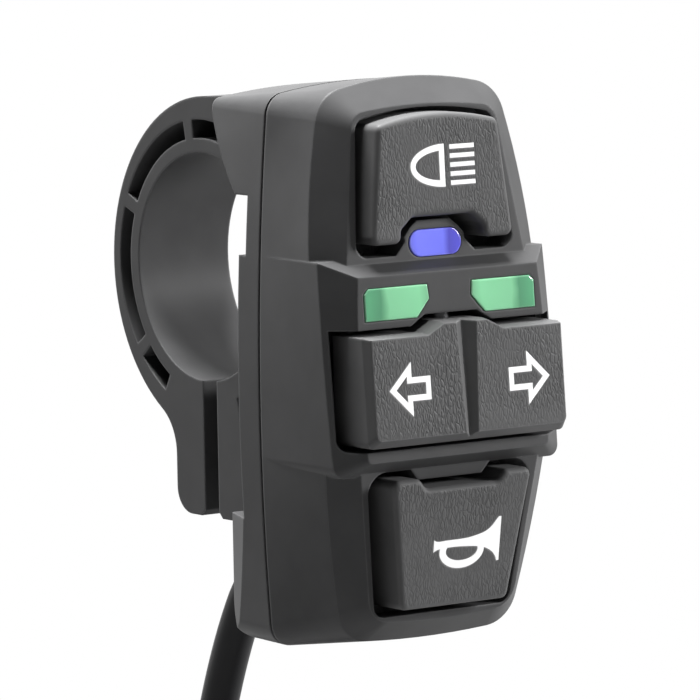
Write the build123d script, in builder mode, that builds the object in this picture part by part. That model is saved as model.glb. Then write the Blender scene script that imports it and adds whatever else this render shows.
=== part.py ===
from build123d import *
from math import atan2, cos, degrees, hypot, pi, radians, sin, sqrt, tan
import os

# Handlebar switch cluster for a 22 mm bar: a light push button on top, a turn signal rocker in the
# middle and a horn button below, in a two-part case with a split clamp ring and a hanging cable.
# Millimetres. The origin is the centre of the handlebar's bore, +X runs along the bar, +Z is up and
# -Y points at the rider. A depth is a distance ahead of the bar's axis, towards -Y.

os.makedirs("parts", exist_ok=True)

# Shared values
overrun = 6.0
fit_gap = 0.05
running_gap = 0.05
wall = 1.7

# Handlebar and clamp ring
bar_radius = 11.1
clamp_half_width = 5.35
clamp_wall = 4.6
clamp_band = 1.4
clamp_rib = 1.4
clamp_core = 4.0
ring_growth = 1.05
ring_drop = 0.15
ring_shift = 1.3
split_gap = 2.3
split_depth = 0.7
ear_thickness = 4.75
ear_drop = 5.1
ear_corner = 2.5
ear_root = 5.0
arm_high = 17.1
split_chamfer = 0.6
# Places of the ribs between the coring pockets, in degrees from the top towards the back
rib_angles = [-38.0, 9.0, 66.0, 128.5, 154.0]
# Pocket in the front block, below the bore
block_pocket = [(-5.2, -12.3), (-5.8, -14.6), (-11.0, -14.6), (-11.0, -9.8), (-8.8, -10.6)]

# Clamp screw and nut, along Y through both ears
clamp_screw_drop = 3.5
clamp_screw_radius = 1.5
clamp_screw_length = 15.0
clamp_head_radius = 2.85
clamp_head_height = 1.65
clamp_head_sink = 1.9
clamp_socket_across = 2.0
clamp_socket_depth = 1.0
clamp_nut_across = 5.5
hexagon_sides = 6
clamp_nut_thickness = 2.4
clamp_nut_depth = 8.6
clamp_head_round = 0.5
clamp_screw_tip = 0.4

# Case outline at the parting plane, seen from the front
case_standoff = 4.3
body_mid_half_width = 13.1
body_top_draw = 1.45
body_bottom_draw = 0.9
body_top = 17.7
body_bottom = -33.9
body_top_crown = 1.1
body_bottom_crown = 0.4
body_corner = 2.2
inner_corner = 1.5

# Rear end of the case's outline, at the tip of the hood
rear_top = 17.1
rear_top_crown = 0.9
rear_top_draw = 1.85
rear_bottom_draw = 1.8
rear_corner = 1.0

# Rear cover, set back from the parting plane
seal_thickness = 0.3
seal_inset = 0.35
seal_width = 0.9
rear_face_back = 3.4
rear_step_back = 2.3
rear_step_high = 8.4
rear_step_low = 2.8
rear_inner_back = 1.8
hood_tip_back = 9.3
hood_tip_height = 16.0
hood_gap = 2.0
bulge_top = -22.1
bulge_back = 7.8
bulge_round = 4.0
bulge_side_half_width = 12.95
bulge_rear_half_width = 11.0
bulge_side_length = 4.7
bulge_wall = 2.0
bulge_inner_inset = 2.8
bulge_hollow_high = -23.5
bulge_hollow_low = -31.9
hood_wall = 1.6
hood_end_wall = 1.7
hood_hollow_low = 9.6
hood_middle_angle = 45.0
hood_hollow_angle = 36.0

# Front cover: three raised sections, ahead of the parting plane. A section's side runs through three
# points, each half a width and a height
lamp_base_rise = 8.39
lamp_base_lean = 6.4
lamp_base_side = [(13.05, 1.3), (12.2, 9.5), (10.3, 17.95)]
lamp_base_crown = 1.4
lamp_base_corner = 3.8
lamp_face_rise = 10.63
lamp_face_lean = 6.7
lamp_face_high = 16.35
lamp_face_high_half_width = 8.3
lamp_face_low_half_width = 10.5
lamp_face_crown = 0.6
lamp_face_corner = 1.8
turn_high = 2.9
turn_low = -17.0
turn_corner = 1.1
turn_base_rise = 9.84
turn_base_lean = 5.9
turn_base_side = [(13.05, turn_low), (13.25, -7.0), (13.1, turn_high)]
turn_face_rise = 12.27
turn_face_lean = 4.4
turn_face_side = [(10.45, -15.6), (10.85, -7.0), (10.4, 1.5)]
turn_face_corner = 0.5
horn_base_rise = 11.83
horn_base_lean = -6.9
horn_base_side = [(9.75, -32.85), (11.62, -24.4), (12.9, -15.5)]
horn_base_crown = 0.5
horn_base_corner = 3.6
horn_face_rise = 14.02
horn_face_lean = -6.9
horn_face_low = -31.1
horn_face_high_half_width = 10.5
horn_face_low_half_width = 8.3
horn_face_crown = 0.5
horn_face_corner = 2.6

# Front cover: inside
switch_room = 3.8
floor_thickness = 1.2
lamp_roof_rise = 0.8
horn_roof_rise = 1.6
flange_gap = 0.1
cavity_gap = 0.25
board_room = 0.6
front_hollow_low_half_width = 9.1
front_hollow_middle = (11.3, -8.0)
front_hollow_high_half_width = 9.1
front_hollow_corner = 1.8

# Light button
light_top = 15.2
light_bottom = 4.2
light_top_half_width = 7.0
light_bottom_half_width = 8.25
light_crown = 0.9
light_face_rise = 11.9
light_face_lean = 3.2
light_travel = 1.2
light_notch_low_half_width = 4.75
light_notch_high_half_width = 3.4
light_notch_shoulder = 5.4
light_notch_top = 6.55
light_hollow = 3.8
light_post_sink = 2.5
light_side_gap = 0.95
light_top_gap = 0.45
light_bottom_gap = 1.2
light_lobe_half_width = 4.6
lobe_corner = 1.3
button_wall = 1.5
button_edge = 0.55
button_lip = 0.6
button_flange = 1.0
button_top_lip = 0.35
button_corner = 0.75
flange_notch_half_width = 2.9
flange_notch_shoulder = 4.9
flange_notch_top_half_width = 1.3
flange_notch_top = 5.5
post_radius = 1.5

# Tab that carries the blue lens
tab_half_width = 3.45
tab_low = 4.2
tab_shoulder = 4.7
tab_bend_half_width = 2.7
tab_bend = 5.5
tab_top_half_width = 1.9
tab_top = 6.1

# Lenses
blue_lens_length = 6.0
blue_lens_height = 2.5
blue_lens_centre = 4.0
blue_lens_seat = 2.0
lens_proud = 0.12
lens_ledge = 0.35
green_outer = 9.85
green_inner_top = 2.6
green_inner_bend = 2.45
green_inner_bottom = 3.95
green_top = 0.4
green_bend = -0.95
green_bottom = -2.6
green_corner = 0.5
green_lens_seat = 1.65
lens_edge = 0.1

# Rocker
rocker_half_width = 11.4
rocker_high = -3.9
rocker_low = -14.1
rocker_raised_high = -2.95
rocker_raised_half_width = 2.5
rocker_raised_foot = 4.4
rocker_face_rise = 14.6
rocker_thickness = 5.2
rocker_corner = 0.6
rocker_wall = 1.4
rocker_hollow = 3.2
rocker_bevel_depth = 1.0
rocker_bevel_end = 0.4
rocker_bevel_low = 0.75
rocker_bevel_high = 0.15
groove_high_half_width = 1.5
groove_high_depth = 1.1
groove_low_half_width = 0.3
groove_low_depth = 0.4
recess_half_width = 12.15
recess_mouth_half_width = 12.75
recess_mouth_rise = 9.6
recess_high = -3.35
recess_low = -14.6
recess_raised_high = -2.35
recess_raised_half_width = 3.0
recess_raised_foot = 4.7
recess_corner = 1.2
rocker_pin_rise = 10.5
rocker_pin_radius = 1.0
rocker_pin_seat = 1.3
rocker_boss_radius = 2.2
prong_gap = 1.25
prong_thickness = 0.95
prong_height = 2.2
prong_lift = 0.6
prong_slot_half_width = 3.4
prong_slot_half_height = 1.9

# Horn button
horn_top = -17.4
horn_bottom = -29.85
horn_top_half_width = 8.1
horn_bottom_half_width = 6.2
horn_notch_half_width = 5.0
horn_notch_floor_half_width = 4.1
horn_notch_floor = -18.4
horn_button_face_rise = 16.63
horn_button_face_lean = -8.07
horn_hollow = 4.4
horn_post_sink = 1.7
horn_travel = 1.0
horn_opening_top = -16.75
horn_opening_bottom = -30.6
horn_opening_top_half_width = 9.65
horn_opening_bottom_half_width = 7.85
horn_opening_corner = 2.0
horn_tab_root_half_width = 4.6
horn_tab_half_width = 3.7
horn_tab_low = -17.8
horn_flange_top = -16.15

# White symbols
symbol_sink = 0.25
symbol_proud = 0.02
lamp_symbol_left = -3.5
lamp_symbol_flat = 0.45
lamp_symbol_centre = 11.2
lamp_symbol_half_height = 2.0
lamp_symbol_stroke = 0.6
lamp_bar_left = 1.1
lamp_bar_right = 3.95
lamp_bar_count = 5
lamp_bar_pitch = 0.84
lamp_bar_thickness = 0.42
arrow_tip = 9.3
arrow_barb = 6.7
arrow_tail = 4.55
arrow_axis = -8.85
arrow_half_height = 2.53
arrow_shaft_half_height = 1.1
arrow_stroke = 0.55
bugle_right = 4.72
bugle_axis = -24.2
bugle_loop_centre = 0.3
bugle_loop_height = -24.85
bugle_loop_long = 2.6
bugle_loop_short = 1.72
bugle_loop_stroke = 0.75
# Bugle's upper and lower edges from the mouthpiece to the bell: across, then above and below its axis
bugle_edges = [
    (-3.0, 0.6, 0.57),
    (-2.7, 0.45, 0.42),
    (-2.0, 0.42, 0.3),
    (-0.5, 0.44, 0.25),
    (1.2, 0.52, 0.35),
    (2.3, 0.72, 0.48),
    (3.1, 0.98, 0.7),
    (3.7, 1.4, 1.02),
    (4.2, 1.95, 1.5),
    (4.45, 2.2, 2.05),
]

# Electrical parts behind the buttons
board_lift = 1.0
board_thickness = 1.2
board_margin = 0.5
light_switch_height = 10.85
light_switch_side = 5.0
light_switch_body = 4.0
light_plunger_radius = 1.2
horn_switch_height = -24.0
horn_switch_side = 6.0
horn_switch_body = 3.5
horn_plunger_radius = 1.6
plunger_sink = 0.8
slide_switch_length = 11.0
slide_switch_width = 5.0
slide_switch_body = 2.8
slider_half_width = 1.0
slider_half_height = 1.2
slider_reach = 2.1
slider_travel = 0.65
slider_sink = 1.0
lamp_chip_length = 3.0
lamp_chip_height = 1.6
lamp_chip_depth = 1.3
lamp_chip_chamfer = 0.25
green_lamp_place = 6.2
green_lamp_height = -1.1

# Case and board screws
case_screw_inset = 4.0
case_screw_upper = 5.6
case_screw_lower = -19.6
case_screw_radius = 1.25
case_screw_reach = 3.6
case_screw_head_radius = 2.1
case_screw_head_height = 1.2
case_screw_drive = 0.5
case_screw_slot_length = 2.4
case_screw_head_round = 0.5
seat_boss_radius = 3.3
case_screw_seat_back = 2.0
boss_radius = 2.2
boss_length = 4.2
board_screw_place = 8.5
board_screw_height = -9.2
board_screw_radius = 0.8
board_screw_head_radius = 1.5
board_screw_head_height = 0.9
board_screw_reach = 2.6
board_post_radius = 1.7

# Cable outlet and cable
cable_radius = 1.9
outlet_height = -27.6
sleeve_neck_radius = 2.6
sleeve_flange_radius = 2.95
sleeve_inner_radius = 3.4
sleeve_flange = 0.7
sleeve_length = 1.6
sleeve_tip_radius = 2.4
lead_radius = 0.45
lead_count = 5
lead_start_pitch = 1.05
lead_end_pitch = 1.5
lead_rise = 1.4
lead_straight = 1.4
lead_run_share = 0.45
# Runs of the cable behind and below the case, each along and down, and the radii of its bends
cable_runs = [(8.6, 0.0), (6.9, -11.3), (5.2, -16.1)]
cable_bends = [9.8, 25.0, 20.0]
coil_radius = 22.5
coil_pitch = 4.3
coil_turns = 3
coil_drop = 14.5
coil_steps = 12
coil_climb_turns = 0.5
coil_samples = 720
tail_drop = 11.0
tail_slant = 13.0
tail_shift = -6.1
tail_end_drop = 10.0
tail_bend = 12.0
connector_width = 12.5
connector_thickness = 6.2
connector_height = 13.0
connector_corner = 0.6
connector_neck_radius = 2.6
connector_neck_height = 2.0
connector_cell_width = 1.5
connector_cell_thickness = 2.6
connector_cell_depth = 7.0
connector_latch_width = 4.0
connector_latch_thickness = 1.2
connector_latch_height = 8.0
contact_height = 5.5
contact_pitch = 2.1
contact_socket = 0.8
contact_socket_depth = 3.0
tie_first_turn = 0.25
tie_last_turn = 1.25
tie_gap = 0.3
tie_thickness = 1.1
tie_width = 3.2
tie_corner = 1.6
tie_head_length = 5.0
tie_head_thickness = 2.4

# Derived sizes
ring_radius = bar_radius + clamp_wall
clamp_screw_height = -ring_radius - clamp_screw_drop
ear_bottom = clamp_screw_height - ear_drop
gap_rear = -split_depth + split_gap / 2
gap_front = -split_depth - split_gap / 2
ear_rear = gap_rear + ear_thickness
ring_outline_radius = ring_radius + ring_growth
ear_root_height = -ring_drop - sqrt(ring_outline_radius**2 - (ear_rear + ring_shift) ** 2)
nut_corner_radius = clamp_nut_across / 2 / cos(pi / hexagon_sides)

body_middle = (body_top + body_bottom) / 2
body_side = [
    (body_mid_half_width - body_bottom_draw, body_bottom),
    (body_mid_half_width, body_middle),
    (body_mid_half_width - body_top_draw, body_top),
]
rear_side = [
    (body_mid_half_width - rear_bottom_draw, body_bottom),
    (body_mid_half_width, body_middle),
    (body_mid_half_width - rear_top_draw, rear_top),
]

parting_depth = ring_radius + case_standoff
front_rim_depth = parting_depth + seal_thickness / 2
rear_rim_depth = parting_depth - seal_thickness / 2
rear_face_depth = parting_depth - rear_face_back
rear_step_depth = parting_depth - rear_step_back
rear_inner_depth = parting_depth - rear_inner_back
hood_tip_depth = parting_depth - hood_tip_back
hood_hollow_depth = hood_tip_depth + hood_end_wall
bulge_depth = parting_depth - bulge_back
bulge_inner_depth = bulge_depth + bulge_wall
bulge_side_depth = bulge_depth + bulge_side_length
case_screw_seat_depth = parting_depth - case_screw_seat_back
case_screw_end_depth = parting_depth + case_screw_reach
boss_end_depth = parting_depth + boss_length

lamp_base_depth = parting_depth + lamp_base_rise
lamp_face_depth = parting_depth + lamp_face_rise
turn_base_depth = parting_depth + turn_base_rise
turn_face_depth = parting_depth + turn_face_rise
horn_base_depth = parting_depth + horn_base_rise
horn_face_depth = parting_depth + horn_face_rise
light_face_depth = parting_depth + light_face_rise
horn_button_face_depth = parting_depth + horn_button_face_rise
rocker_face_depth = parting_depth + rocker_face_rise
rocker_back_depth = rocker_face_depth - rocker_thickness
rocker_hollow_depth = rocker_back_depth + rocker_hollow
rocker_pin_depth = parting_depth + rocker_pin_rise
recess_mouth_depth = parting_depth + recess_mouth_rise
blue_lens_depth = lamp_face_depth - blue_lens_seat
green_lens_back = turn_face_depth - green_lens_seat
reach_depth = rocker_face_depth + overrun

board_back_depth = parting_depth + board_lift
board_front_depth = board_back_depth + board_thickness
board_room_depth = board_front_depth + board_room
floor_back_depth = board_front_depth + switch_room
floor_front_depth = floor_back_depth + floor_thickness
lamp_roof_depth = floor_back_depth + lamp_roof_rise
horn_roof_depth = floor_back_depth + horn_roof_rise
light_flange_depth = lamp_roof_depth - button_flange - flange_gap
horn_flange_depth = horn_roof_depth - button_flange - flange_gap
light_inside_depth = light_flange_depth + light_hollow
horn_inside_depth = horn_flange_depth + horn_hollow
light_plunger_end = light_flange_depth + light_post_sink
horn_plunger_end = horn_flange_depth + horn_post_sink
prong_end_depth = board_front_depth + slide_switch_body + prong_lift
slider_end_depth = board_front_depth + slide_switch_body + slider_reach

light_cavity_low = light_bottom - light_bottom_gap - button_lip - cavity_gap
light_cavity_high = light_top + light_top_gap + button_top_lip + cavity_gap
light_cavity_growth = light_side_gap + button_lip + cavity_gap
horn_cavity_growth = button_lip + cavity_gap
front_hollow_side = [
    (front_hollow_low_half_width, horn_opening_bottom - horn_cavity_growth - cavity_gap),
    front_hollow_middle,
    (front_hollow_high_half_width, light_cavity_high + cavity_gap),
]

cable_diameter = 2 * cable_radius
sleeve_end_depth = bulge_depth - sleeve_length
cable_corners = [(-sleeve_end_depth, outlet_height)]
for along, down in cable_runs:
    cable_corners.append((cable_corners[-1][0] + along, cable_corners[-1][1] + down))
coil_side, coil_height = cable_corners[-1][0], cable_corners[-1][1] - coil_drop
coil_centre = coil_side - coil_radius
coil_end = coil_height - cable_diameter


def front(depth):
    """Upright plane at a depth, facing the rider, with X across and Z up."""
    return Plane(origin=(0, -depth, 0), x_dir=(1, 0, 0), z_dir=(0, -1, 0))


def leaning(depth, lean):
    """Front plane that leans back by some degrees at its top; the depth is at the bar's height."""
    tilt = radians(lean)
    return Plane(origin=(0, -depth, 0), x_dir=(1, 0, 0), z_dir=(0, -cos(tilt), sin(tilt)))


def half_width(side, height):
    """Half the width at a height on the arc through a side's three points."""
    (low_half, low), (middle_half, middle), (high_half, high) = side
    twice = 2 * (low_half * (middle - high) + middle_half * (high - low) + high_half * (low - middle))
    squares = [half**2 + place**2 for half, place in side]
    centre = (squares[0] * (middle - high) + squares[1] * (high - low) + squares[2] * (low - middle)) / twice
    centre_height = (
        squares[0] * (high_half - middle_half)
        + squares[1] * (low_half - high_half)
        + squares[2] * (middle_half - low_half)
    ) / twice
    radius = hypot(low_half - centre, low - centre_height)
    return centre + sqrt(radius**2 - (height - centre_height) ** 2)


def side_between(low, high):
    """Three points of the case's side at the parting plane, between two heights."""
    return [(half_width(body_side, height), height) for height in (low, (low + high) / 2, high)]


def end_edge(half, height, crown):
    """Straight or crowned end of an outline, the crown measured upwards."""
    if crown == 0:
        Line((-half, height), (half, height))
    else:
        ThreePointArc((-half, height), (0, height + crown), (half, height))


def bowed_outline(side, low_crown=0, high_crown=0, inset=0, lean=0):
    """Edges of an outline with bowed sides, drawn in by an inset and stretched for a leaning plane."""
    stretch = 1 / cos(radians(lean))
    low, middle, high = [(half - inset, height * stretch) for half, height in side]
    ThreePointArc(low, middle, high)
    ThreePointArc(*[(-half, height) for half, height in (low, middle, high)])
    end_edge(low[0], low[1], low_crown)
    end_edge(high[0], high[1], high_crown)


def tapered_outline(low, high, low_half, high_half, low_crown=0, high_crown=0):
    """Edges of an outline with straight sides between two heights."""
    for side in (-1, 1):
        Line((side * low_half, low), (side * high_half, high))
    end_edge(low_half, low, low_crown)
    end_edge(high_half, high, high_crown)


def mirrored(points):
    """Right-hand points followed by the same points on the left, as one closed run."""
    return points + [(-across, height) for across, height in reversed(points)]


def case_outline(inset=0):
    """Face of the case's outline at the parting plane, with rounded corners."""
    (low_half, low), middle, (high_half, high) = body_side
    with BuildSketch(Plane.XY) as outline:
        with BuildLine():
            bowed_outline(
                [(low_half, low + inset), middle, (high_half, high - inset)],
                -body_bottom_crown,
                body_top_crown,
                inset,
            )
        make_face()
        fillet(vertices(), max(body_corner - inset, inner_corner))
    return outline.sketch_local


def light_outline():
    """Light button from the front: crowned top, and a notch for the tab at the bottom."""
    low = [
        (light_bottom_half_width, light_bottom),
        (light_notch_low_half_width, light_bottom),
        (light_notch_low_half_width, light_notch_shoulder),
        (light_notch_high_half_width, light_notch_top),
    ]
    run = mirrored(low)
    Polyline(*run)
    for side in (-1, 1):
        Line((side * light_bottom_half_width, light_bottom), (side * light_top_half_width, light_top))
    end_edge(light_top_half_width, light_top, light_crown)


def light_opening():
    """Opening round the light button, with the tab standing up between two lobes."""
    top = light_top + light_top_gap
    side_rise = light_side_gap
    lobe_low = light_bottom - light_bottom_gap
    low = [
        (light_bottom_half_width + side_rise, lobe_low),
        (light_lobe_half_width, lobe_low),
        (tab_half_width, tab_low),
        (tab_half_width, tab_shoulder),
        (tab_bend_half_width, tab_bend),
        (tab_top_half_width, tab_top),
    ]
    Polyline(*mirrored(low))
    for side in (-1, 1):
        Line(
            (side * (light_bottom_half_width + side_rise), lobe_low),
            (side * (light_top_half_width + side_rise), top),
        )
    end_edge(light_top_half_width + side_rise, top, light_crown)


def horn_outline():
    """Horn button from the front, with its shallow notch at the top."""
    run = [
        (horn_notch_floor_half_width, horn_notch_floor),
        (horn_notch_half_width, horn_top),
        (horn_top_half_width, horn_top),
        (horn_bottom_half_width, horn_bottom),
    ]
    Polyline(*mirrored(run), close=True)


def horn_opening():
    """Opening round the horn button, with a tab hanging between two lobes."""
    run = [
        (horn_tab_half_width, horn_tab_low),
        (horn_tab_root_half_width, horn_opening_top),
        (horn_opening_top_half_width, horn_opening_top),
        (horn_opening_bottom_half_width, horn_opening_bottom),
    ]
    Polyline(*mirrored(run), close=True)


def green_outline(grow=0):
    """Right green lens, grown by a clearance or drawn in to a ledge."""
    outer = green_outer + grow
    top = green_top + grow
    bottom = green_bottom - grow
    Polyline(
        (green_inner_top - grow, top),
        (outer - green_corner, top),
        (outer, top - green_corner),
        (outer, bottom),
        (green_inner_bottom - grow, bottom),
        (green_inner_bend - grow, green_bend),
        close=True,
    )


def light_flange():
    """Light button's flange, with a notch that stays hidden behind the tab."""
    low = light_bottom - light_bottom_gap - button_lip
    high = light_top + light_top_gap + button_top_lip
    low_half = light_bottom_half_width + light_side_gap + button_lip
    high_half = light_top_half_width + light_side_gap + button_lip
    run = [
        (low_half, low),
        (flange_notch_half_width, low),
        (flange_notch_half_width, flange_notch_shoulder),
        (flange_notch_top_half_width, flange_notch_top),
    ]
    Polyline(*mirrored(run))
    for side in (-1, 1):
        Line((side * low_half, low), (side * high_half, high))
    end_edge(high_half, high, light_crown)


def lamp_symbol_face():
    """Headlamp symbol: the outline of a lamp, and five beams to its right."""
    with BuildSketch(Plane.XY) as symbol:
        long = lamp_symbol_flat - lamp_symbol_left
        with Locations((lamp_symbol_flat, lamp_symbol_centre)):
            Ellipse(long, lamp_symbol_half_height)
            Rectangle(
                long,
                2 * lamp_symbol_half_height,
                align=(Align.MIN, Align.CENTER),
                mode=Mode.SUBTRACT,
            )
        with BuildSketch(mode=Mode.SUBTRACT):
            with Locations((lamp_symbol_flat, lamp_symbol_centre)):
                Ellipse(long - lamp_symbol_stroke, lamp_symbol_half_height - lamp_symbol_stroke)
            with Locations((lamp_symbol_flat - lamp_symbol_stroke, lamp_symbol_centre)):
                Rectangle(
                    long,
                    2 * lamp_symbol_half_height,
                    align=(Align.MIN, Align.CENTER),
                    mode=Mode.SUBTRACT,
                )
        for index in range(lamp_bar_count):
            row = index - (lamp_bar_count - 1) / 2
            with Locations((lamp_bar_left, lamp_symbol_centre + row * lamp_bar_pitch)):
                Rectangle(
                    lamp_bar_right - lamp_bar_left,
                    lamp_bar_thickness,
                    align=(Align.MIN, Align.CENTER),
                )
    return symbol.sketch_local


def arrow_faces():
    """Outlined arrows, one pointing left and one right."""
    with BuildSketch(Plane.XY) as symbol:
        for side in (-1, 1):
            corners = [
                (side * arrow_tip, 0),
                (side * arrow_barb, arrow_half_height),
                (side * arrow_barb, arrow_shaft_half_height),
                (side * arrow_tail, arrow_shaft_half_height),
            ]
            run = corners + [(across, -height) for across, height in reversed(corners[1:])]
            with BuildSketch():
                with BuildLine():
                    Polyline(*[(across, arrow_axis + height) for across, height in run], close=True)
                make_face()
                offset(amount=-arrow_stroke, kind=Kind.INTERSECTION, mode=Mode.SUBTRACT)
    return symbol.sketch_local


def bugle_face():
    """Horn symbol: a bugle with a loop of tube below it."""
    with BuildSketch(Plane.XY) as symbol:
        with BuildSketch():
            with Locations((bugle_loop_centre, bugle_loop_height)):
                Ellipse(bugle_loop_long, bugle_loop_short)
                Ellipse(
                    bugle_loop_long - bugle_loop_stroke,
                    bugle_loop_short - bugle_loop_stroke,
                    mode=Mode.SUBTRACT,
                )
            with Locations((bugle_loop_centre, bugle_axis)):
                Rectangle(
                    2 * bugle_loop_long,
                    2 * bugle_loop_short,
                    align=(Align.CENTER, Align.MIN),
                    mode=Mode.SUBTRACT,
                )
        upper = [(across, bugle_axis + above) for across, above, below in bugle_edges]
        lower = [(across, bugle_axis - below) for across, above, below in bugle_edges]
        with BuildLine():
            Spline(*upper)
            Spline(*lower)
            Line(upper[0], lower[0])
            Polyline(upper[-1], (bugle_right, upper[-1][1]), (bugle_right, lower[-1][1]), lower[-1])
        make_face()
    return symbol.sketch_local


def raised_outline(half, low, high, raised_half, raised_foot, raised_high):
    """Rocker or recess from the front, with a raised middle at its top."""
    Polyline(
        *mirrored([(raised_half, raised_high), (raised_foot, high), (half, high), (half, low)]),
        close=True,
    )


# Front cover: a shell with three raised sections, its openings, screw bosses and board posts
turn_face_plane = leaning(turn_face_depth, turn_face_lean)
lamp_face_plane = leaning(lamp_face_depth, lamp_face_lean)
horn_face_plane = leaning(horn_face_depth, horn_face_lean)
case_screw_places = [
    (side * (body_mid_half_width - case_screw_inset), height)
    for side in (-1, 1)
    for height in (case_screw_upper, case_screw_lower)
]
board_screw_places = [(side * board_screw_place, board_screw_height) for side in (-1, 1)]

lamp_low = lamp_base_side[0][1]
horn_high = horn_base_side[-1][1]

with BuildPart() as front_cover:
    # Middle section
    with BuildSketch(front(front_rim_depth)):
        with BuildLine():
            bowed_outline(side_between(turn_low, turn_high))
        make_face()
        fillet(vertices().group_by(Axis.Y)[0], turn_corner)
    with BuildSketch(leaning(turn_base_depth, turn_base_lean)):
        with BuildLine():
            bowed_outline(turn_base_side, lean=turn_base_lean)
        make_face()
        fillet(vertices().group_by(Axis.Y)[0], turn_corner)
    with BuildSketch(turn_face_plane):
        with BuildLine():
            bowed_outline(turn_face_side, lean=turn_face_lean)
        make_face()
        fillet(vertices().group_by(Axis.Y)[0], turn_face_corner)
    loft(ruled=True)
    # Upper section
    with BuildSketch(front(front_rim_depth)):
        with BuildLine():
            bowed_outline(side_between(lamp_low, body_top), high_crown=body_top_crown)
        make_face()
        fillet(vertices().group_by(Axis.Y)[-1], body_corner)
    with BuildSketch(leaning(lamp_base_depth, lamp_base_lean)):
        with BuildLine():
            bowed_outline(lamp_base_side, high_crown=lamp_base_crown, lean=lamp_base_lean)
        make_face()
        fillet(vertices().group_by(Axis.Y)[-1], lamp_base_corner)
    with BuildSketch(lamp_face_plane):
        with BuildLine():
            tapered_outline(
                lamp_low,
                lamp_face_high,
                lamp_face_low_half_width,
                lamp_face_high_half_width,
                high_crown=lamp_face_crown,
            )
        make_face()
        fillet(vertices().group_by(Axis.Y)[-1], lamp_face_corner)
    loft(ruled=True)
    # Lower section
    with BuildSketch(front(front_rim_depth)):
        with BuildLine():
            bowed_outline(side_between(body_bottom, horn_high), -body_bottom_crown)
        make_face()
        fillet(vertices().group_by(Axis.Y)[0], body_corner)
    with BuildSketch(leaning(horn_base_depth, horn_base_lean)):
        with BuildLine():
            bowed_outline(horn_base_side, -horn_base_crown, lean=horn_base_lean)
        make_face()
        fillet(vertices().group_by(Axis.Y)[0], horn_base_corner)
    with BuildSketch(horn_face_plane):
        with BuildLine():
            tapered_outline(
                horn_face_low,
                horn_high,
                horn_face_low_half_width,
                horn_face_high_half_width,
                low_crown=-horn_face_crown,
            )
        make_face()
        fillet(vertices().group_by(Axis.Y)[0], horn_face_corner)
    loft(ruled=True)
    # Inside of the shell: room for the board, then a narrower room up to the floor
    with BuildSketch(front(front_rim_depth)):
        add(case_outline(wall))
    extrude(amount=board_room_depth - front_rim_depth, mode=Mode.SUBTRACT)
    with BuildSketch(front(board_room_depth)):
        with BuildLine():
            bowed_outline(front_hollow_side, high_crown=light_crown)
        make_face()
        fillet(vertices(), front_hollow_corner)
    extrude(amount=floor_back_depth - board_room_depth, mode=Mode.SUBTRACT)
    # Rooms for the buttons' flanges
    with BuildSketch(front(floor_back_depth)):
        with BuildLine():
            tapered_outline(
                light_cavity_low,
                light_cavity_high,
                light_bottom_half_width + light_cavity_growth,
                light_top_half_width + light_cavity_growth,
                high_crown=light_crown,
            )
        make_face()
        fillet(vertices().group_by(Axis.Y)[-1], inner_corner)
    extrude(amount=lamp_roof_depth - floor_back_depth, mode=Mode.SUBTRACT)
    with BuildSketch(front(floor_back_depth)):
        with BuildLine():
            tapered_outline(
                horn_opening_bottom - horn_cavity_growth,
                horn_flange_top + cavity_gap,
                horn_opening_bottom_half_width + horn_cavity_growth,
                horn_opening_top_half_width + horn_cavity_growth,
            )
        make_face()
        fillet(vertices(), inner_corner)
    extrude(amount=horn_roof_depth - floor_back_depth, mode=Mode.SUBTRACT)
    # Openings for the buttons and the recess for the rocker
    with BuildSketch(front(floor_back_depth)):
        with BuildLine():
            light_opening()
        make_face()
        lobe_corners = vertices().group_by(Axis.Y)[0].sort_by(Axis.X)
        fillet([lobe_corners[0], lobe_corners[-1]], lobe_corner)
        fillet(vertices().group_by(Axis.Y)[-1], lobe_corner)
    extrude(amount=reach_depth - floor_back_depth, mode=Mode.SUBTRACT)
    with BuildSketch(front(floor_back_depth)):
        with BuildLine():
            horn_opening()
        make_face()
        fillet(vertices().group_by(Axis.Y)[0], lobe_corner)
        lobe_corners = vertices().group_by(Axis.Y)[-1].sort_by(Axis.X)
        fillet([lobe_corners[0], lobe_corners[-1]], horn_opening_corner)
    extrude(amount=reach_depth - floor_back_depth, mode=Mode.SUBTRACT)
    for half, depth in (
        (recess_half_width, floor_front_depth),
        (recess_mouth_half_width, recess_mouth_depth),
    ):
        with BuildSketch(front(depth)):
            with BuildLine():
                raised_outline(
                    half,
                    recess_low,
                    recess_high,
                    recess_raised_half_width,
                    recess_raised_foot,
                    recess_raised_high,
                )
            make_face()
            fillet(vertices().group_by(Axis.Y)[0], recess_corner)
        extrude(amount=reach_depth - depth, mode=Mode.SUBTRACT)
    # Slot in the recess floor for the rocker's prongs
    with BuildSketch(front(floor_back_depth)):
        with Locations((0, arrow_axis)):
            Rectangle(2 * prong_slot_half_width, 2 * prong_slot_half_height)
    extrude(amount=floor_front_depth - floor_back_depth, mode=Mode.SUBTRACT)
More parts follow.
